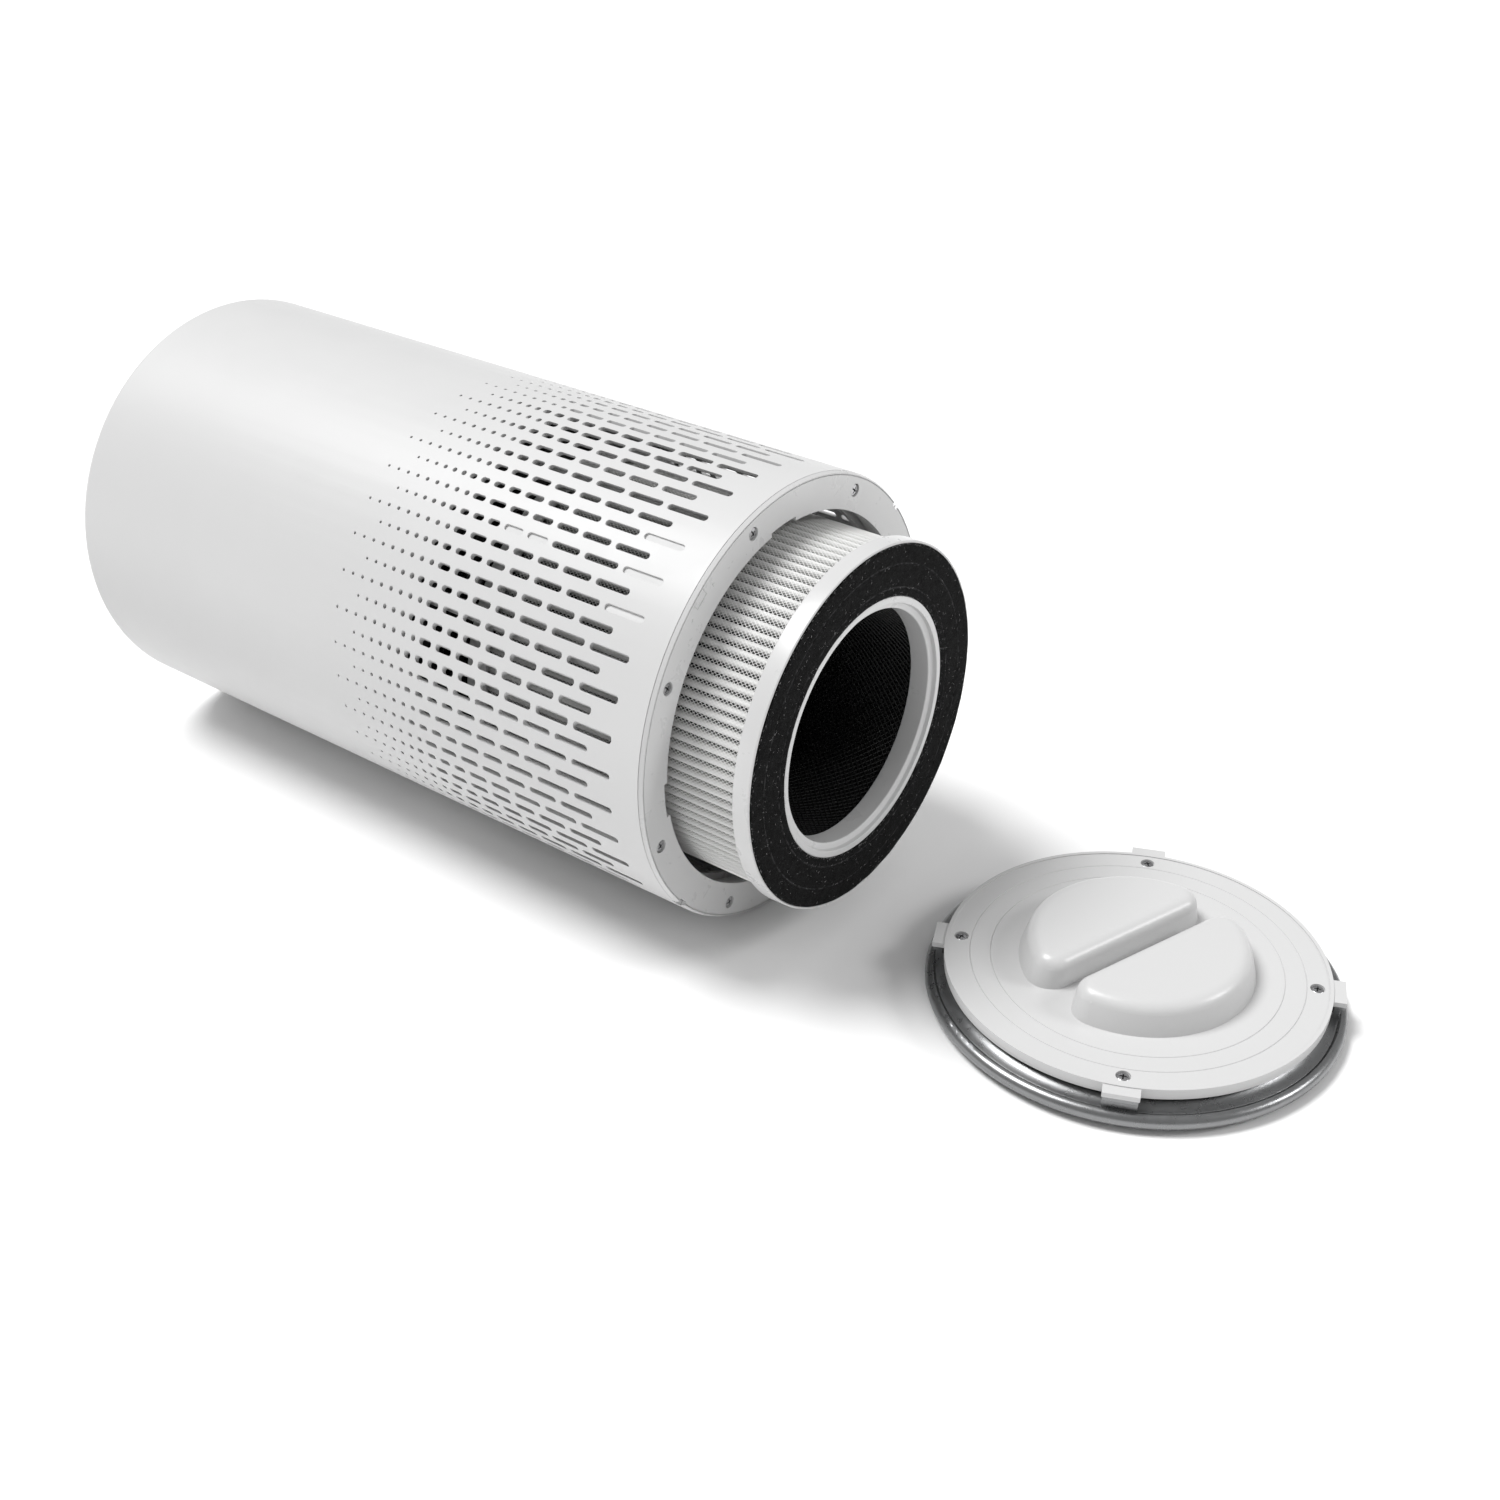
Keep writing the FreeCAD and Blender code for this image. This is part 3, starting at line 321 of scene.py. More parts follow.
LINT = moulded("pale_lint", (0.4, 0.4, 0.4), 0.8, 0.3, 300.0, 0.05, 2000.0, 0.00001, 0.0)
PRINT = moulded("grey_print", (0.30, 0.31, 0.32), 0.5, 0.05, 60.0, 0.05, 1200.0, 0.00001, 0.0)
PALE_PRINT = moulded("status_lights", (0.25, 0.45, 0.62), 0.4, 0.03, 60.0, 0.05, 1200.0,
                     0.00001, 0.0)
# Painted shade: near-black steel for the faces deep in the screws' cross recesses, where shade
# falls.
RECESS_SHADE_STEEL = moulded("steel_painted_recess_shade", (0.02, 0.02, 0.02), 0.5, 0.1, 400.0, 0.1, 2600.0, 0.00002,
                 0.0, Metallic=0.6)
COVER_PLASTIC = moulded("cover_white_plastic", WHITE, 0.32, 0.006, 8.0, 0.01, 900.0,
                        0.000003, 0.0)

# Each CAD node takes the material of its slot.
SLOT_OF = {part["node"]: part["material_slot"] for part in frame["record"]["subparts"]}
for node_name, cad_object in nodes.items():
    cad_object.data.materials.clear()
    cad_object.data.materials.append(MATERIALS[SLOT_OF[node_name]])
nodes["lock_plate"].data.materials[0] = COVER_PLASTIC


# ---------------------------------------------------------------- mesh helpers


def piece(name, points, faces, body, slot, material=None, sharp=32.0):
    """A mesh object that rides on a body; edges over `sharp` degrees stay crisp."""
    mesh = bpy.data.meshes.new(name)
    mesh.from_pydata([tuple(point) for point in points], [], faces)
    mesh.materials.append(material or MATERIALS[slot])
    mesh.shade_smooth()
    mesh.set_sharp_from_angle(angle=math.radians(sharp))
    made = bpy.data.objects.new(name, mesh)
    scene.collection.objects.link(made)
    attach(made, body)
    return made


def rounded(corners, steps=5):
    """A closed outline of (x, y, fillet) corners with its corners rounded."""
    outline = []
    for index, (x, y, fillet) in enumerate(corners):
        here = Vector((x, y))
        if not fillet:
            outline.append(here)
            continue
        before = (Vector(corners[index - 1][:2]) - here).normalized()
        after = (Vector(corners[(index + 1) % len(corners)][:2]) - here).normalized()
        reach = fillet / math.tan(before.angle(after) / 2)
        start = here + before * reach
        end = here + after * reach
        for step in range(steps + 1):
            t = step / steps
            outline.append(start * (1 - t) ** 2 + here * 2 * t * (1 - t) + end * t ** 2)
    return outline


def turned(outline, steps, place, wave=None):
    """Points and faces of a closed (radius, level) outline turned about local Z, in mm."""
    points = []
    faces = []
    count = len(outline)
    for step in range(steps):
        angle = 2 * math.pi * step / steps
        for index, (radius, level) in enumerate(outline):
            lift = wave(angle, radius, level) if wave else 0.0
            spot = Vector((radius * math.cos(angle), radius * math.sin(angle), level + lift))
            points.append(place @ (spot * MM))
        for index in range(count):
            after = (index + 1) % count
            other = (step + 1) % steps
            faces.append((step * count + index, step * count + after,
                          other * count + after, other * count + index))
    return points, faces


def lathe(name, corners, place, body, slot, steps=256, material=None, wave=None):
    """A turned piece with rounded corners."""
    points, faces = turned(rounded(corners), steps, place, wave)
    return piece(name, points, faces, body, slot, material)


def prism(outline, low, high, place):
    """Points and faces of a plane outline raised from low to high, in mm."""
    count = len(outline)
    points = [place @ (Vector((x, y, level)) * MM) for level in (low, high)
              for x, y in outline]
    faces = [(i, (i + 1) % count, count + (i + 1) % count, count + i) for i in range(count)]
    faces.append(tuple(reversed(range(count))))
    faces.append(tuple(range(count, 2 * count)))
    return points, faces


def joined(parts):
    """Several (points, faces) as one."""
    points = []
    faces = []
    for more_points, more_faces in parts:
        start = len(points)
        points.extend(more_points)
        faces.extend(tuple(start + index for index in face) for face in more_faces)
    return points, faces


# ---------------------------------------------------------------- filter cartridge

# Levels on the filter, in mm behind its front face.
FILTER = lying(FILTER_FACE)
REAR = (FILTER_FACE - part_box("rear_gasket")[0].x) / MM
FELT_THICK = 2.5
CAP_PLATE = 4.5
FRONT_SKIRT = 10.0
REAR_SKIRT = 15.0
TUBE_DEPTH = 14.0

front_cap = lathe("filter_cap_front", [
    (BORE, 3.4, 0.8), (62.5, 2.6, 0.5), (62.9, 0.6, 0.4), (66.3, 0.6, 0.4),
    (66.3, FELT_THICK, 0), (FELT_OUTER, FELT_THICK, 0), (FELT_OUTER, 0.8, 0.25),
    (CAP, 0.8, 0.5), (CAP, FRONT_SKIRT, 0.4), (CAP_WALL, FRONT_SKIRT, 0),
    (CAP_WALL, CAP_PLATE, 0), (TUBE, CAP_PLATE, 0), (TUBE, TUBE_DEPTH, 0.3),
    (BORE, TUBE_DEPTH, 0.5),
], FILTER, "filter", "white_plastic")
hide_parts("filter_front_cap")

rear_cap = lathe("filter_cap_rear", [
    (BORE, REAR - TUBE_DEPTH, 0.5), (TUBE, REAR - TUBE_DEPTH, 0.3),
    (TUBE, REAR - CAP_PLATE, 0), (CAP_WALL, REAR - CAP_PLATE, 0),
    (CAP_WALL, REAR - REAR_SKIRT, 0), (CAP, REAR - REAR_SKIRT, 0.4),
    (CAP, REAR - FELT_THICK, 0.6), (BORE, REAR - FELT_THICK, 0.6),
], FILTER, "filter", "white_plastic")
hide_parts("filter_rear_cap")


def nap(side):
    """Relief of the felt's open face, with its two pressed lines."""
    rng = random.Random(11)
    waves = [(rng.randint(3, 60), rng.uniform(0.05, 0.9), rng.uniform(0, 6.28)) for _ in range(14)]

    def lift(angle, radius, level):
        """How far a point of the felt stands proud, in mm."""
        if (level - FELT_THICK / 2) * side < 0:
            return 0.0
        total = sum(math.sin(turns * angle + stretch * radius + start)
                    for turns, stretch, start in waves)
        dent = sum(math.exp(-((radius - line) / 0.35) ** 2) for line in PRESSED_CIRCLES)
        edge = min(radius - FELT_INNER, FELT_OUTER - radius)
        crown = 0.35 * (1 - math.exp(-max(edge, 0.0) / 0.8)) - 0.35
        return side * (0.02 * total - 0.22 * dent + crown)
    return lift


def felt_ring(name, node_name, front, side):
    """A felt ring with a napped open face and slightly crowned edges."""
    middle = FELT_THICK / 2
    radii = [66.5 + 0.3 * step for step in range(85)]
    outline = [(radius, middle + 1.2 * side) for radius in radii]
    outline += [(91.9, middle), (91.85, middle - 1.2 * side), (66.6, middle - 1.2 * side),
                (66.5, middle)]
    if side < 0:
        outline.reverse()
    points, faces = turned(outline, 480, lying(front), nap(side))
    made = piece(name, points, faces, "filter", "felt", sharp=60.0)
    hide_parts(node_name)


felt_ring("felt_front", "front_gasket", FILTER_FACE, -1)
felt_ring("felt_rear", "rear_gasket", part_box("rear_gasket")[1].x, 1)


# Level of the highest lint, which stays clear of the cover when that is in place.
LINT_TOP = -0.15


def lint(name, amount):
    """Loose pale fibres caught on the front felt and standing out at its edges."""
    rng = random.Random(5)
    parts = []
    for _ in range(amount):
        at_edge = rng.random() < 0.35
        radius = rng.choice((66.6, 91.9)) if at_edge else rng.uniform(67, 91.5)
        angle = rng.uniform(0, 2 * math.pi)
        level = rng.uniform(-0.05, 0.35)
        way = rng.uniform(0, 2 * math.pi)
        rise = rng.uniform(-0.5, 0.3)
        length = rng.uniform(0.5, 1.5)
        thick = rng.uniform(0.025, 0.05)
        bend = rng.uniform(-0.6, 0.6)
        rings = []
        spot = Vector((radius * math.cos(angle), radius * math.sin(angle), level))
        for step in range(4):
            heading = Vector((math.cos(way), math.sin(way), rise * (0.3 if step < 2 else 1)))
            side = heading.cross(Vector((0, 0, 1))).normalized() * thick
            top = Vector((0, 0, -thick))
            rings.append([spot - side, spot + side, spot + top * 1.7])
            spot = spot + heading.normalized() * length / 3
            spot.z = max(spot.z, LINT_TOP)
            way += bend
        points = [FILTER @ (corner * MM) for ring in rings for corner in ring]
        faces = [(0, 1, 2), (11, 10, 9)]
        for step in range(3):
            for corner in range(3):
                after = (corner + 1) % 3
                faces.append((3 * step + corner, 3 * step + 3 + corner,
                              3 * step + 3 + after, 3 * step + after))
        parts.append((points, faces))
    points, faces = joined(parts)
    piece(name, points, faces, "filter", "felt", LINT)


lint("felt_lint", 1500)

# The filter paper: radii of its crests and troughs, and how far those are rounded, in mm.
PLEATS = 108
CREST = 89.4
TROUGH = 68.9
CREST_ROUND = 1.25
TROUGH_ROUND = 0.9
FOLD_RADII = (84.0, 79.0, 74.0)
PAPER_HALF = 0.28
MEDIA_START = CAP_PLATE + 0.1
MEDIA_END = REAR - MEDIA_START


def pleat_line():
    """One pleat's middle line as (offset along the arc, radius, part of a pitch)."""
    turns = [math.radians(-90 + 30 * step) for step in range(7)]
    line = [(CREST_ROUND * math.sin(turn),
             CREST - CREST_ROUND + CREST_ROUND * math.cos(turn), 0.0) for turn in turns]
    line += [(None, radius, 0.25) for radius in FOLD_RADII]
    line += [(TROUGH_ROUND * math.sin(turn),
              TROUGH + TROUGH_ROUND - TROUGH_ROUND * math.cos(turn), 0.5) for turn in turns]
    line += [(None, radius, 0.75) for radius in reversed(FOLD_RADII)]
    return line


def pleated(name):
    """The zigzag of filter paper between the two caps."""
    rng = random.Random(3)
    pitch = 2 * math.pi / PLEATS
    stations = 15
    half_walls = []
    for offset, radius, part in pleat_line():
        if offset is None:
            near = CREST_ROUND if part < 0.5 else -CREST_ROUND
            deep = -TROUGH_ROUND if part < 0.5 else TROUGH_ROUND
            share = (CREST - radius) / (CREST - TROUGH)
            crest_angle = (0 if part < 0.5 else pitch) + near / radius
            trough_angle = pitch / 2 + deep / radius
            half_walls.append((crest_angle * (1 - share) + trough_angle * share, radius))
        else:
            half_walls.append((part * pitch + offset / radius, radius))
    flat = [(pleat * pitch + angle, radius) for pleat in range(PLEATS)
            for angle, radius in half_walls]
    lean = [[rng.uniform(-1, 1) for _ in range(4)] for _ in range(PLEATS)]
    per = len(half_walls)
    total = len(flat)
    points = []
    for station in range(stations):
        along = station / (stations - 1)
        level = MEDIA_START + (MEDIA_END - MEDIA_START) * along
        loose = math.sin(math.pi * along)
        line = []
        for index, (angle, radius) in enumerate(flat):
            a, b, c, d = lean[index // per]
            sway = 0.35 * a + 0.25 * b * math.sin(7 * along + 3 * c)
            share = max(0.0, (radius - TROUGH) / (CREST - TROUGH))
            shift = loose * sway * share / CREST
            drop = loose * 0.25 * abs(d) * share
            line.append(Vector(((radius - drop) * math.cos(angle + shift),
                                (radius - drop) * math.sin(angle + shift))))
        for side in (PAPER_HALF, -PAPER_HALF):
            for index, spot in enumerate(line):
                ahead = line[(index + 1) % total] - line[index - 1]
                normal = Vector((ahead.y, -ahead.x)).normalized() * side
                points.append(FILTER @ (Vector((spot.x + normal.x, spot.y + normal.y,
                                                level)) * MM))
    faces = []
    for station in range(stations - 1):
        low = station * 2 * total
        high = low + 2 * total
        for index in range(total):
            after = (index + 1) % total
            faces.append((low + index, low + after, high + after, high + index))
            faces.append((low + total + after, low + total + index,
                          high + total + index, high + total + after))
    last = (stations - 1) * 2 * total
    for index in range(total):
        after = (index + 1) % total
        faces.append((after, index, total + index, total + after))
        faces.append((last + index, last + after, last + total + after, last + total + index))
    return piece(name, points, faces, "filter", "filter_media", sharp=70.0)


pleats = pleated("pleated_paper")
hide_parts("pleated_media")


# The glue threads, and the fleece bands between them and the caps, in mm.
GLUE_RADIUS = 86.2
GLUE_STEP = 23.0
BAND_INNER = 83.6
BAND_OUTER = 84.6
BAND_LENGTH = 21.5


def glue_thread(name, level, seed):
    """A thread of hot-melt glue that spaces the pleats."""
    rng = random.Random(seed)
    starts = [rng.uniform(0, 6.28) for _ in range(3)]

    def wander(angle, _radius, _level):
        """How far the thread strays along the filter, in mm."""
        return (0.5 * math.sin(3 * angle + starts[0]) + 0.3 * math.sin(11 * angle + starts[1])
                + 0.15 * math.sin(47 * angle + starts[2]))

    tube = [(GLUE_RADIUS + 1.1 * math.cos(step * math.pi / 4),
             level + 0.6 * math.sin(step * math.pi / 4)) for step in range(8)]
    points, faces = turned(tube, 400, FILTER, wander)
    piece(name, points, faces, "filter", "filter_media", GLUE)


for number in range(6):
    glue_thread("glue_thread_%d" % (number + 1),
                FRONT_SKIRT + BAND_LENGTH + GLUE_STEP * number, number)
band_start = FRONT_SKIRT - 1
band_end = FRONT_SKIRT + BAND_LENGTH - 0.2
lathe("edge_band_front", [(BAND_INNER, band_start, 0), (BAND_OUTER, band_start, 0),
                          (BAND_OUTER, band_end, 0.5), (BAND_INNER, band_end, 0.5)],
      FILTER, "filter", "filter_media")
band_start = REAR - REAR_SKIRT - BAND_LENGTH
band_end = REAR - REAR_SKIRT + 1
lathe("edge_band_rear", [(BAND_INNER, band_start, 0.5), (BAND_OUTER, band_start, 0.5),
                         (BAND_OUTER, band_end, 0), (BAND_INNER, band_end, 0)],
      FILTER, "filter", "filter_media")


def diamond_net(name, strands, radii, ends, slope, section, steps, slot, material):
    """A tube of `strands` strands each way, `slope` being the way round per way along."""
    start, end = ends
    points = []
    faces = []
    sides = len(section)
    for hand, radius in zip((1, -1), radii):
        sweep = (end - start) * slope / radius
        for strand in range(strands):
            base = len(points)
            first = 2 * math.pi * strand / strands
            for step in range(steps + 1):
                along = step / steps
                angle = first + hand * sweep * along
                level = start + (end - start) * along
                for across, out in section:
                    here = angle + across * 0.75 / radius
                    depth = level - hand * across * 0.65
                    points.append(FILTER @ (Vector(((radius + out) * math.cos(here),
                                                    (radius + out) * math.sin(here),
                                                    depth)) * MM))
            for step in range(steps):
                for k in range(sides):
                    after = (k + 1) % sides
                    a = base + sides * step
                    faces.append((a + k, a + after, a + sides + after, a + sides + k))
            faces.append(tuple(base + k for k in reversed(range(sides))))
            faces.append(tuple(base + sides * steps + k for k in range(sides)))
    return piece(name, points, faces, "filter", slot, material, sharp=80.0)


def oval(sides, wide, high):
    """A strand's cross-section."""
    return [(wide * math.cos(2 * math.pi * k / sides), high * math.sin(2 * math.pi * k / sides))
            for k in range(sides)]


# The net drawn over the pleats and the one that lines the bore. In each, one hand's strands
# lie just under the other's.
OUTER_NET = (89.72, 89.62)
INNER_NET = (60.75, 60.65)
diamond_net("outer_net", 300, OUTER_NET, (FRONT_SKIRT - 0.4, REAR - REAR_SKIRT + 0.4), 0.775,
            oval(4, 0.13, 0.1), 24, "filter_media", NET)
net = diamond_net("core_net", 110, INNER_NET, (TUBE_DEPTH + 0.2, REAR - TUBE_DEPTH - 0.2), 1.0,
                  oval(6, 0.45, 0.34), 34, "black_plastic", CORE_NET)
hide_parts("filter_core")


# ---------------------------------------------------------------- marks on the ring


def polar(angle, radius):
    """A point from an angle in degrees and a radius."""
    return radius * math.cos(math.radians(angle)), radius * math.sin(math.radians(angle))


def ring_marks(name):
    """Raised arrowheads and a bracket that show which way the cover turns."""
    place = lying(OPEN_END)
    low, high = -0.2, 0.1
    half_stroke = 0.14
    parts = []
    for angle, radius, way in ((-45.2, 108.0, -1), (-34.8, 107.6, 1)):
        outline = [polar(angle + 0.5 * way, radius), polar(angle - 0.4 * way, radius + 0.9),
                   polar(angle - 0.4 * way, radius - 0.9)]
        if way < 0:
            outline.reverse()
        parts.append(prism(outline, low, high, place))
    strokes = (((-42.2, 112.2), (-42.2, 108.6)), ((-42.2, 108.6), (-40.0, 108.5)),
               ((-40.0, 108.5), (-37.8, 108.6)), ((-37.8, 108.6), (-37.8, 112.2)))
    for (start_angle, start_radius), (end_angle, end_radius) in strokes:
        start = Vector(polar(start_angle, start_radius))
        end = Vector(polar(end_angle, end_radius))
        across = (end - start).normalized() * half_stroke
        side = Vector((-across.y, across.x))
        outline = [start - across - side, end + across - side, end + across + side,
                   start - across + side]
        parts.append(prism([tuple(corner) for corner in outline], low, high, place))
    points, faces = joined(parts)
    piece(name, points, faces, "housing", "white_plastic")


ring_marks("turn_marks")


def pin_circles(name, spots, level, body, slot, material=None):
    """Faint circles that a mould's ejector pins leave, at (x, y, radius) on the cover."""
    parts = []
    for x, y, radius in spots:
        outline = [(radius + 0.13, -0.03), (radius, 0.05), (radius - 0.13, -0.03)]
        parts.append(turned(outline, 48, on_cover(x, y, level)))
    points, faces = joined(parts)
    piece(name, points, faces, body, slot, material, sharp=80.0)


# The disc's downward edge, and the silver base's rise towards it under the foam seal.
lathe("disc_skirt", [(92.25, 16.05, 0), (92.25, 14.2, 0.35), (91.15, 14.2, 0.35),
                     (91.15, 16.05, 0)], on_cover(), "cover", "white_plastic",
      material=COVER_PLASTIC)
lathe("base_shoulder", [(96.1, 8.2, 0), (96.1, 9.0, 0.3), (92.6, 9.3, 10.0), (89.4, 11.6, 0.5),
                        (86.5, 11.6, 0.3), (86.5, 8.2, 0)], on_cover(), "cover",
      "silver_paint")

# Levels on the cover, in mm above the floor.
HUMP_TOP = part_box("lock_plate")[1].z / MM
DISC_TOP = 19.5
BASE_TOP = 8.4
SCREW_LEVEL = DISC_TOP - 0.65
grip_marks = []
for along, across in ((36, 14), (-36, 14), (34, -14), (-34, -14)):
    turn = GRIP_TURN + math.atan2(across, along)
    out = math.hypot(along, across)
    grip_marks.append((out * math.cos(turn), out * math.sin(turn), 2.6))
pin_circles("hump_pin_circles", grip_marks, HUMP_TOP, "cover", "white_plastic", COVER_PLASTIC)
pin_circles("disc_pin_circles", [(*polar(22.5 + 45 * k, 86.4), 2.4) for k in range(8)],
            DISC_TOP, "cover", "white_plastic", COVER_PLASTIC)
pin_circles("base_pin_circles", [(*polar(24 + 60 * k, 91.6), 2.2) for k in range(6)],
            BASE_TOP, "cover", "silver_paint")


# The panel's face, and how far its marks reach into it and stand out of it, in mm.
PANEL_FACE = (OPEN_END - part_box("control_panel")[0].x) / MM
PRINT_SUNK = 0.05
PRINT_PROUD = 0.06


def panel_marks(name, spots, material):
    """Round marks and bars printed on the control panel, as (angle, radius, long, wide)."""
    place = lying(OPEN_END)
    parts = []
    for angle, radius, length, width in spots:
        x, y = polar(angle, radius)
        spin = Matrix.Rotation(math.radians(angle), 4, "Z")
        spot = place @ Matrix.Translation(Vector((x, y, 0)) * MM) @ spin
        half = length / 2
        outline = []
        for step in range(16):
            turn = math.pi * (step + 0.5) / 8
            end = half if math.cos(turn - math.pi / 2) > 0 else -half
            outline.append((width / 2 * math.cos(turn), end + width / 2 * math.sin(turn)))
        parts.append(prism(outline, PANEL_FACE - PRINT_SUNK, PANEL_FACE + PRINT_PROUD, spot))
    points, faces = joined(parts)
    piece(name, points, faces, "housing", "white_plastic", material)


panel_marks("panel_bars", [(-24.0, 27.0, 1.6, 1.3), (0.0, 27.0, 3.2, 1.3),
                           (24.0, 27.0, 4.8, 1.3)], PRINT)
panel_marks("panel_dots", [(150.0 + 12.0 * k, 31.0, 0.01, 1.5) for k in range(6)], PALE_PRINT)
panel_marks("panel_keys", [(86.0, 27.0, 0.01, 4.4), (-86.0, 27.0, 0.01, 4.4)], PRINT)


# ---------------------------------------------------------------- screws


# A screw's head and shank radii, the rise and the dropped edge of its dome, the level of its
# underside, its length, and how deep its recess starts to take painted shade, in mm.
HEAD = 3.0
SHANK = 1.25
DOME = 0.55
HEAD_EDGE = 0.15
HEAD_UNDER = -0.75
SHANK_LENGTH = 12.5
PAINTED_SHADE_DEPTH = 0.35


def step_up(value):
    """0 below 0, 1 above 1 and smooth between."""
    value = min(1.0, max(0.0, value))
    return value * value * (3 - 2 * value)


def cross_recess(x, y):
    """Depth of a cross-head recess, in mm."""
    deepest = 0.0
    for along, across in ((abs(x), abs(y)), (abs(y), abs(x))):
        wide = 0.36 - 0.06 * along
        arm = step_up((wide - across) / 0.1 + 0.5) * step_up((2.0 - along) / 0.25)
        deepest = max(deepest, arm * (1.0 - 0.25 * along))
    return deepest


def screw(place):
    """Points and faces of a domed cross-head screw; its head is at level 0, facing up."""
    rings = 26
    turns = 96
    points = []
    faces = []
    levels = []
    for ring in range(1, rings + 1):
        out = HEAD * ring / rings
        dome = DOME * (1 - (out / HEAD) ** 2) - HEAD_EDGE * step_up((out - 2.7) / 0.3)
        levels.append((out, dome))
    points.append(place @ (Vector((0, 0, DOME - cross_recess(0, 0))) * MM))
    for out, dome in levels:
        for turn in range(turns):
            angle = 2 * math.pi * turn / turns
            x, y = out * math.cos(angle), out * math.sin(angle)
            points.append(place @ (Vector((x, y, dome - cross_recess(x, y))) * MM))
    for out, level in ((HEAD, HEAD_UNDER), (SHANK, HEAD_UNDER), (SHANK, -SHANK_LENGTH),
                       (0.3, -SHANK_LENGTH - 1.0)):
        for turn in range(turns):
            angle = 2 * math.pi * turn / turns
            points.append(place @ (Vector((out * math.cos(angle), out * math.sin(angle),
                                           level)) * MM))
    for turn in range(turns):
        faces.append((0, 1 + turn, 1 + (turn + 1) % turns))
    for ring in range(rings + 3):
        for turn in range(turns):
            after = (turn + 1) % turns
            a = 1 + ring * turns
            faces.append((a + turn, a + turns + turn, a + turns + after, a + after))
    last = 1 + (rings + 3) * turns
    faces.append(tuple(last + turn for turn in reversed(range(turns))))
    return points, faces


def screws(name, node_name, body, places):
    """A node's screws, each turned its own way, with painted shade: darker steel deep in their
    recesses.
    """
    rng = random.Random(name)
    parts = [screw(place @ Matrix.Rotation(rng.uniform(0, math.pi / 2), 4, "Z"))
             for place in places]
    points, faces = joined(parts)
    made = piece(name, points, faces, body, "steel", sharp=50.0)
    made.data.materials.append(RECESS_SHADE_STEEL)
    drawn_points, drawn_faces = screw(Matrix.Scale(1 / MM, 4))
    for index, polygon in enumerate(made.data.polygons):
        face = drawn_faces[index % len(drawn_faces)]
        middle = sum((drawn_points[corner] for corner in face), Vector()) / len(face)
        # Painted shade: faces deeper than the set depth in the cross recess take the dark steel.
        if middle.z > HEAD_UNDER + 0.05 and cross_recess(middle.x, middle.y) > PAINTED_SHADE_DEPTH:
            polygon.material_index = 1
    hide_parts(node_name)


# Where the screws are, in degrees and mm.
RING_SCREW_START = -62.4
RING_SCREW_CIRCLE = 106.7
RING_SCREW_DEPTH = 0.75
COVER_SCREW_CIRCLE = 84.8
OUTWARD = Matrix.Rotation(math.pi, 4, "X")
ring_places = []
for number in range(8):
    x, y = polar(RING_SCREW_START + 45 * number, RING_SCREW_CIRCLE)
    spot = Matrix.Translation(Vector((x, y, RING_SCREW_DEPTH)) * MM)
    ring_places.append(lying(OPEN_END) @ spot @ OUTWARD)
screws("ring_cross_screws", "ring_screws", "housing", ring_places)
cover_places = []
for number in range(4):
    x, y = polar(90 * number, COVER_SCREW_CIRCLE)
    cover_places.append(on_cover(x, y, SCREW_LEVEL))
screws("cover_cross_screws", "cover_screws", "cover", cover_places)


# ---------------------------------------------------------------- floor, light, camera


def floor_material():
    """Pale seamless floor."""
    material, tree, shader, where = shader_tree("studio_floor")
    cloud = noise(tree, where, 1.5, 3.0)
    tree.links.new(blend(tree, spread(tree, cloud, 0.0, 1.0), (0.945, 0.945, 0.945),
                         (0.955, 0.955, 0.955)), shader.inputs["Base Color"])
    tree.links.new(spread(tree, cloud, 0.9, 0.95), shader.inputs["Roughness"])
    shader.inputs["Specular IOR Level"].default_value = 0.0
    return material


REACH = 30.0
FLOOR_LEVEL = -0.0002
floor_mesh = bpy.data.meshes.new("floor")
floor_mesh.from_pydata([(x, y, FLOOR_LEVEL) for x, y in ((-REACH, -REACH), (REACH, -REACH),
                                                         (REACH, REACH), (-REACH, REACH))],
                       [], [(0, 1, 2, 3)])
floor_mesh.materials.append(floor_material())
floor = bpy.data.objects.new("floor", floor_mesh)
scene.collection.objects.link(floor)

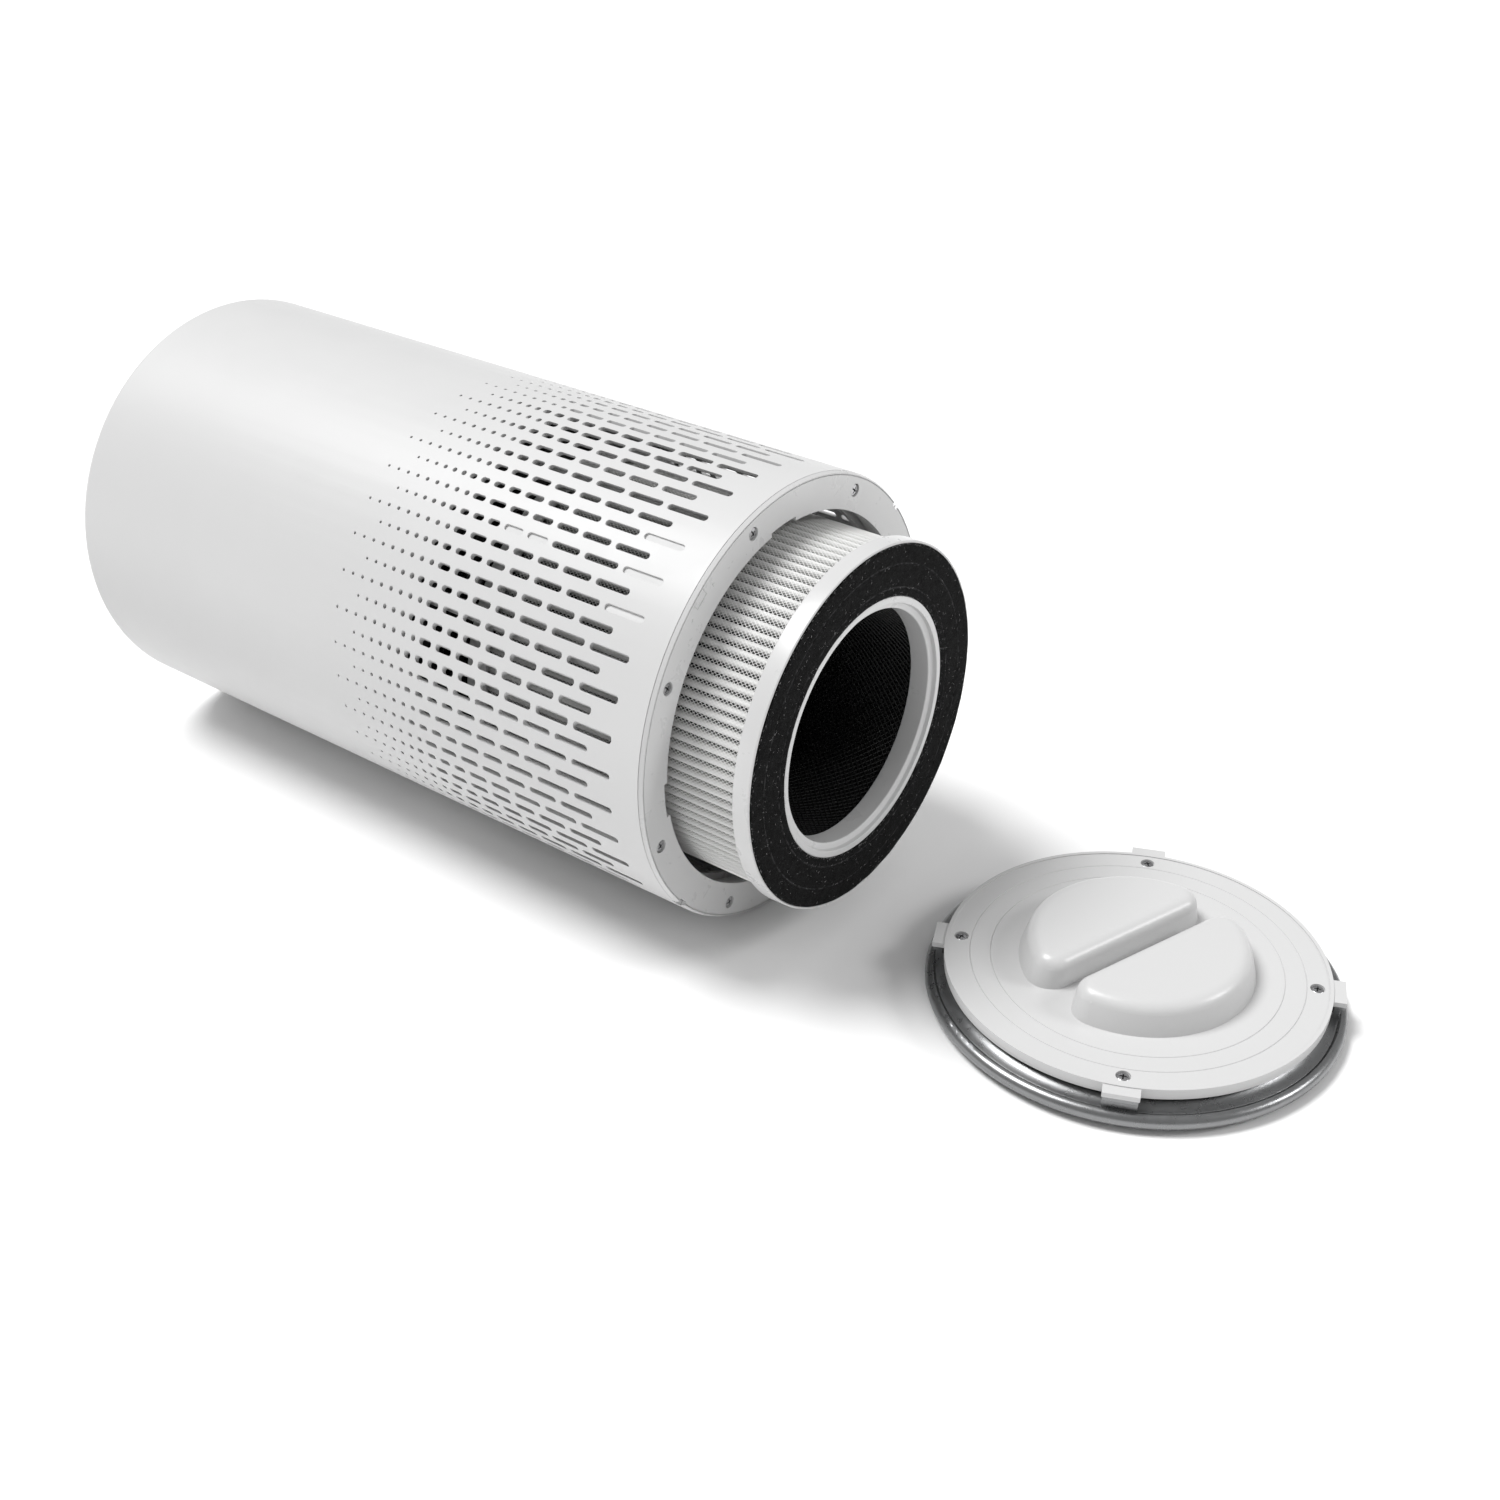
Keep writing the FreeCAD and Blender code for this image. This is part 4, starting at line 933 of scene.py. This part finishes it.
world = bpy.data.worlds.new("studio")
world.use_nodes = True
sky = world.node_tree.nodes["Background"]
sky.inputs["Color"].default_value = (1.0, 1.0, 1.0, 1.0)
# White as seen above the horizon, and dimmer as a light.
SKY_LIGHT = 0.42
light_path = world.node_tree.nodes.new("ShaderNodeLightPath")
glow = spread(world.node_tree, light_path.outputs["Is Camera Ray"], SKY_LIGHT, 1.0, 0.0, 1.0)
world.node_tree.links.new(glow, sky.inputs["Strength"])
scene.world = world
scene.view_settings.view_transform = "Standard"


def soft_sun(name, toward, spread_angle, strength):
    """A broad distant light, like a large diffuser far off."""
    light = bpy.data.lights.new(name, "SUN")
    light.angle = math.radians(spread_angle)
    light.energy = strength
    made = bpy.data.objects.new(name, light)
    scene.collection.objects.link(made)
    made.location = Vector(toward) * -2.0
    made.rotation_mode = "QUATERNION"
    made.rotation_quaternion = Vector(toward).to_track_quat("-Z", "Y")


soft_sun("key_light", toward=(0.48, 0.22, -1.0), spread_angle=27.0, strength=2.9)
soft_sun("front_light", toward=(-0.75, -0.45, -0.6), spread_angle=16.0, strength=0.9)

camera_data = bpy.data.cameras.new("camera")
camera_data.sensor_width = 36.0
camera_data.lens = 45.65
camera_data.shift_x = 0.0146
camera_data.shift_y = 0.0307
camera_data.clip_start = 0.05
camera_data.clip_end = 40.0
camera = bpy.data.objects.new("camera", camera_data)
scene.collection.objects.link(camera)
# The camera stands ahead of the open end, to one side and high, in metres.
CAMERA_AHEAD = 0.4720
CAMERA_ASIDE = 0.6603
CAMERA_HEIGHT = 0.5890
camera.location = (OPEN_END + CAMERA_AHEAD, AXIS_Y - CAMERA_ASIDE, CAMERA_HEIGHT)
CAMERA_TURN = math.radians(-37.755)
CAMERA_FALL = math.radians(33.183)
gaze = Vector((math.cos(CAMERA_FALL) * math.sin(CAMERA_TURN),
               math.cos(CAMERA_FALL) * math.cos(CAMERA_TURN), -math.sin(CAMERA_FALL)))
camera.rotation_mode = "QUATERNION"
camera.rotation_quaternion = gaze.to_track_quat("-Z", "Y")
scene.camera = camera
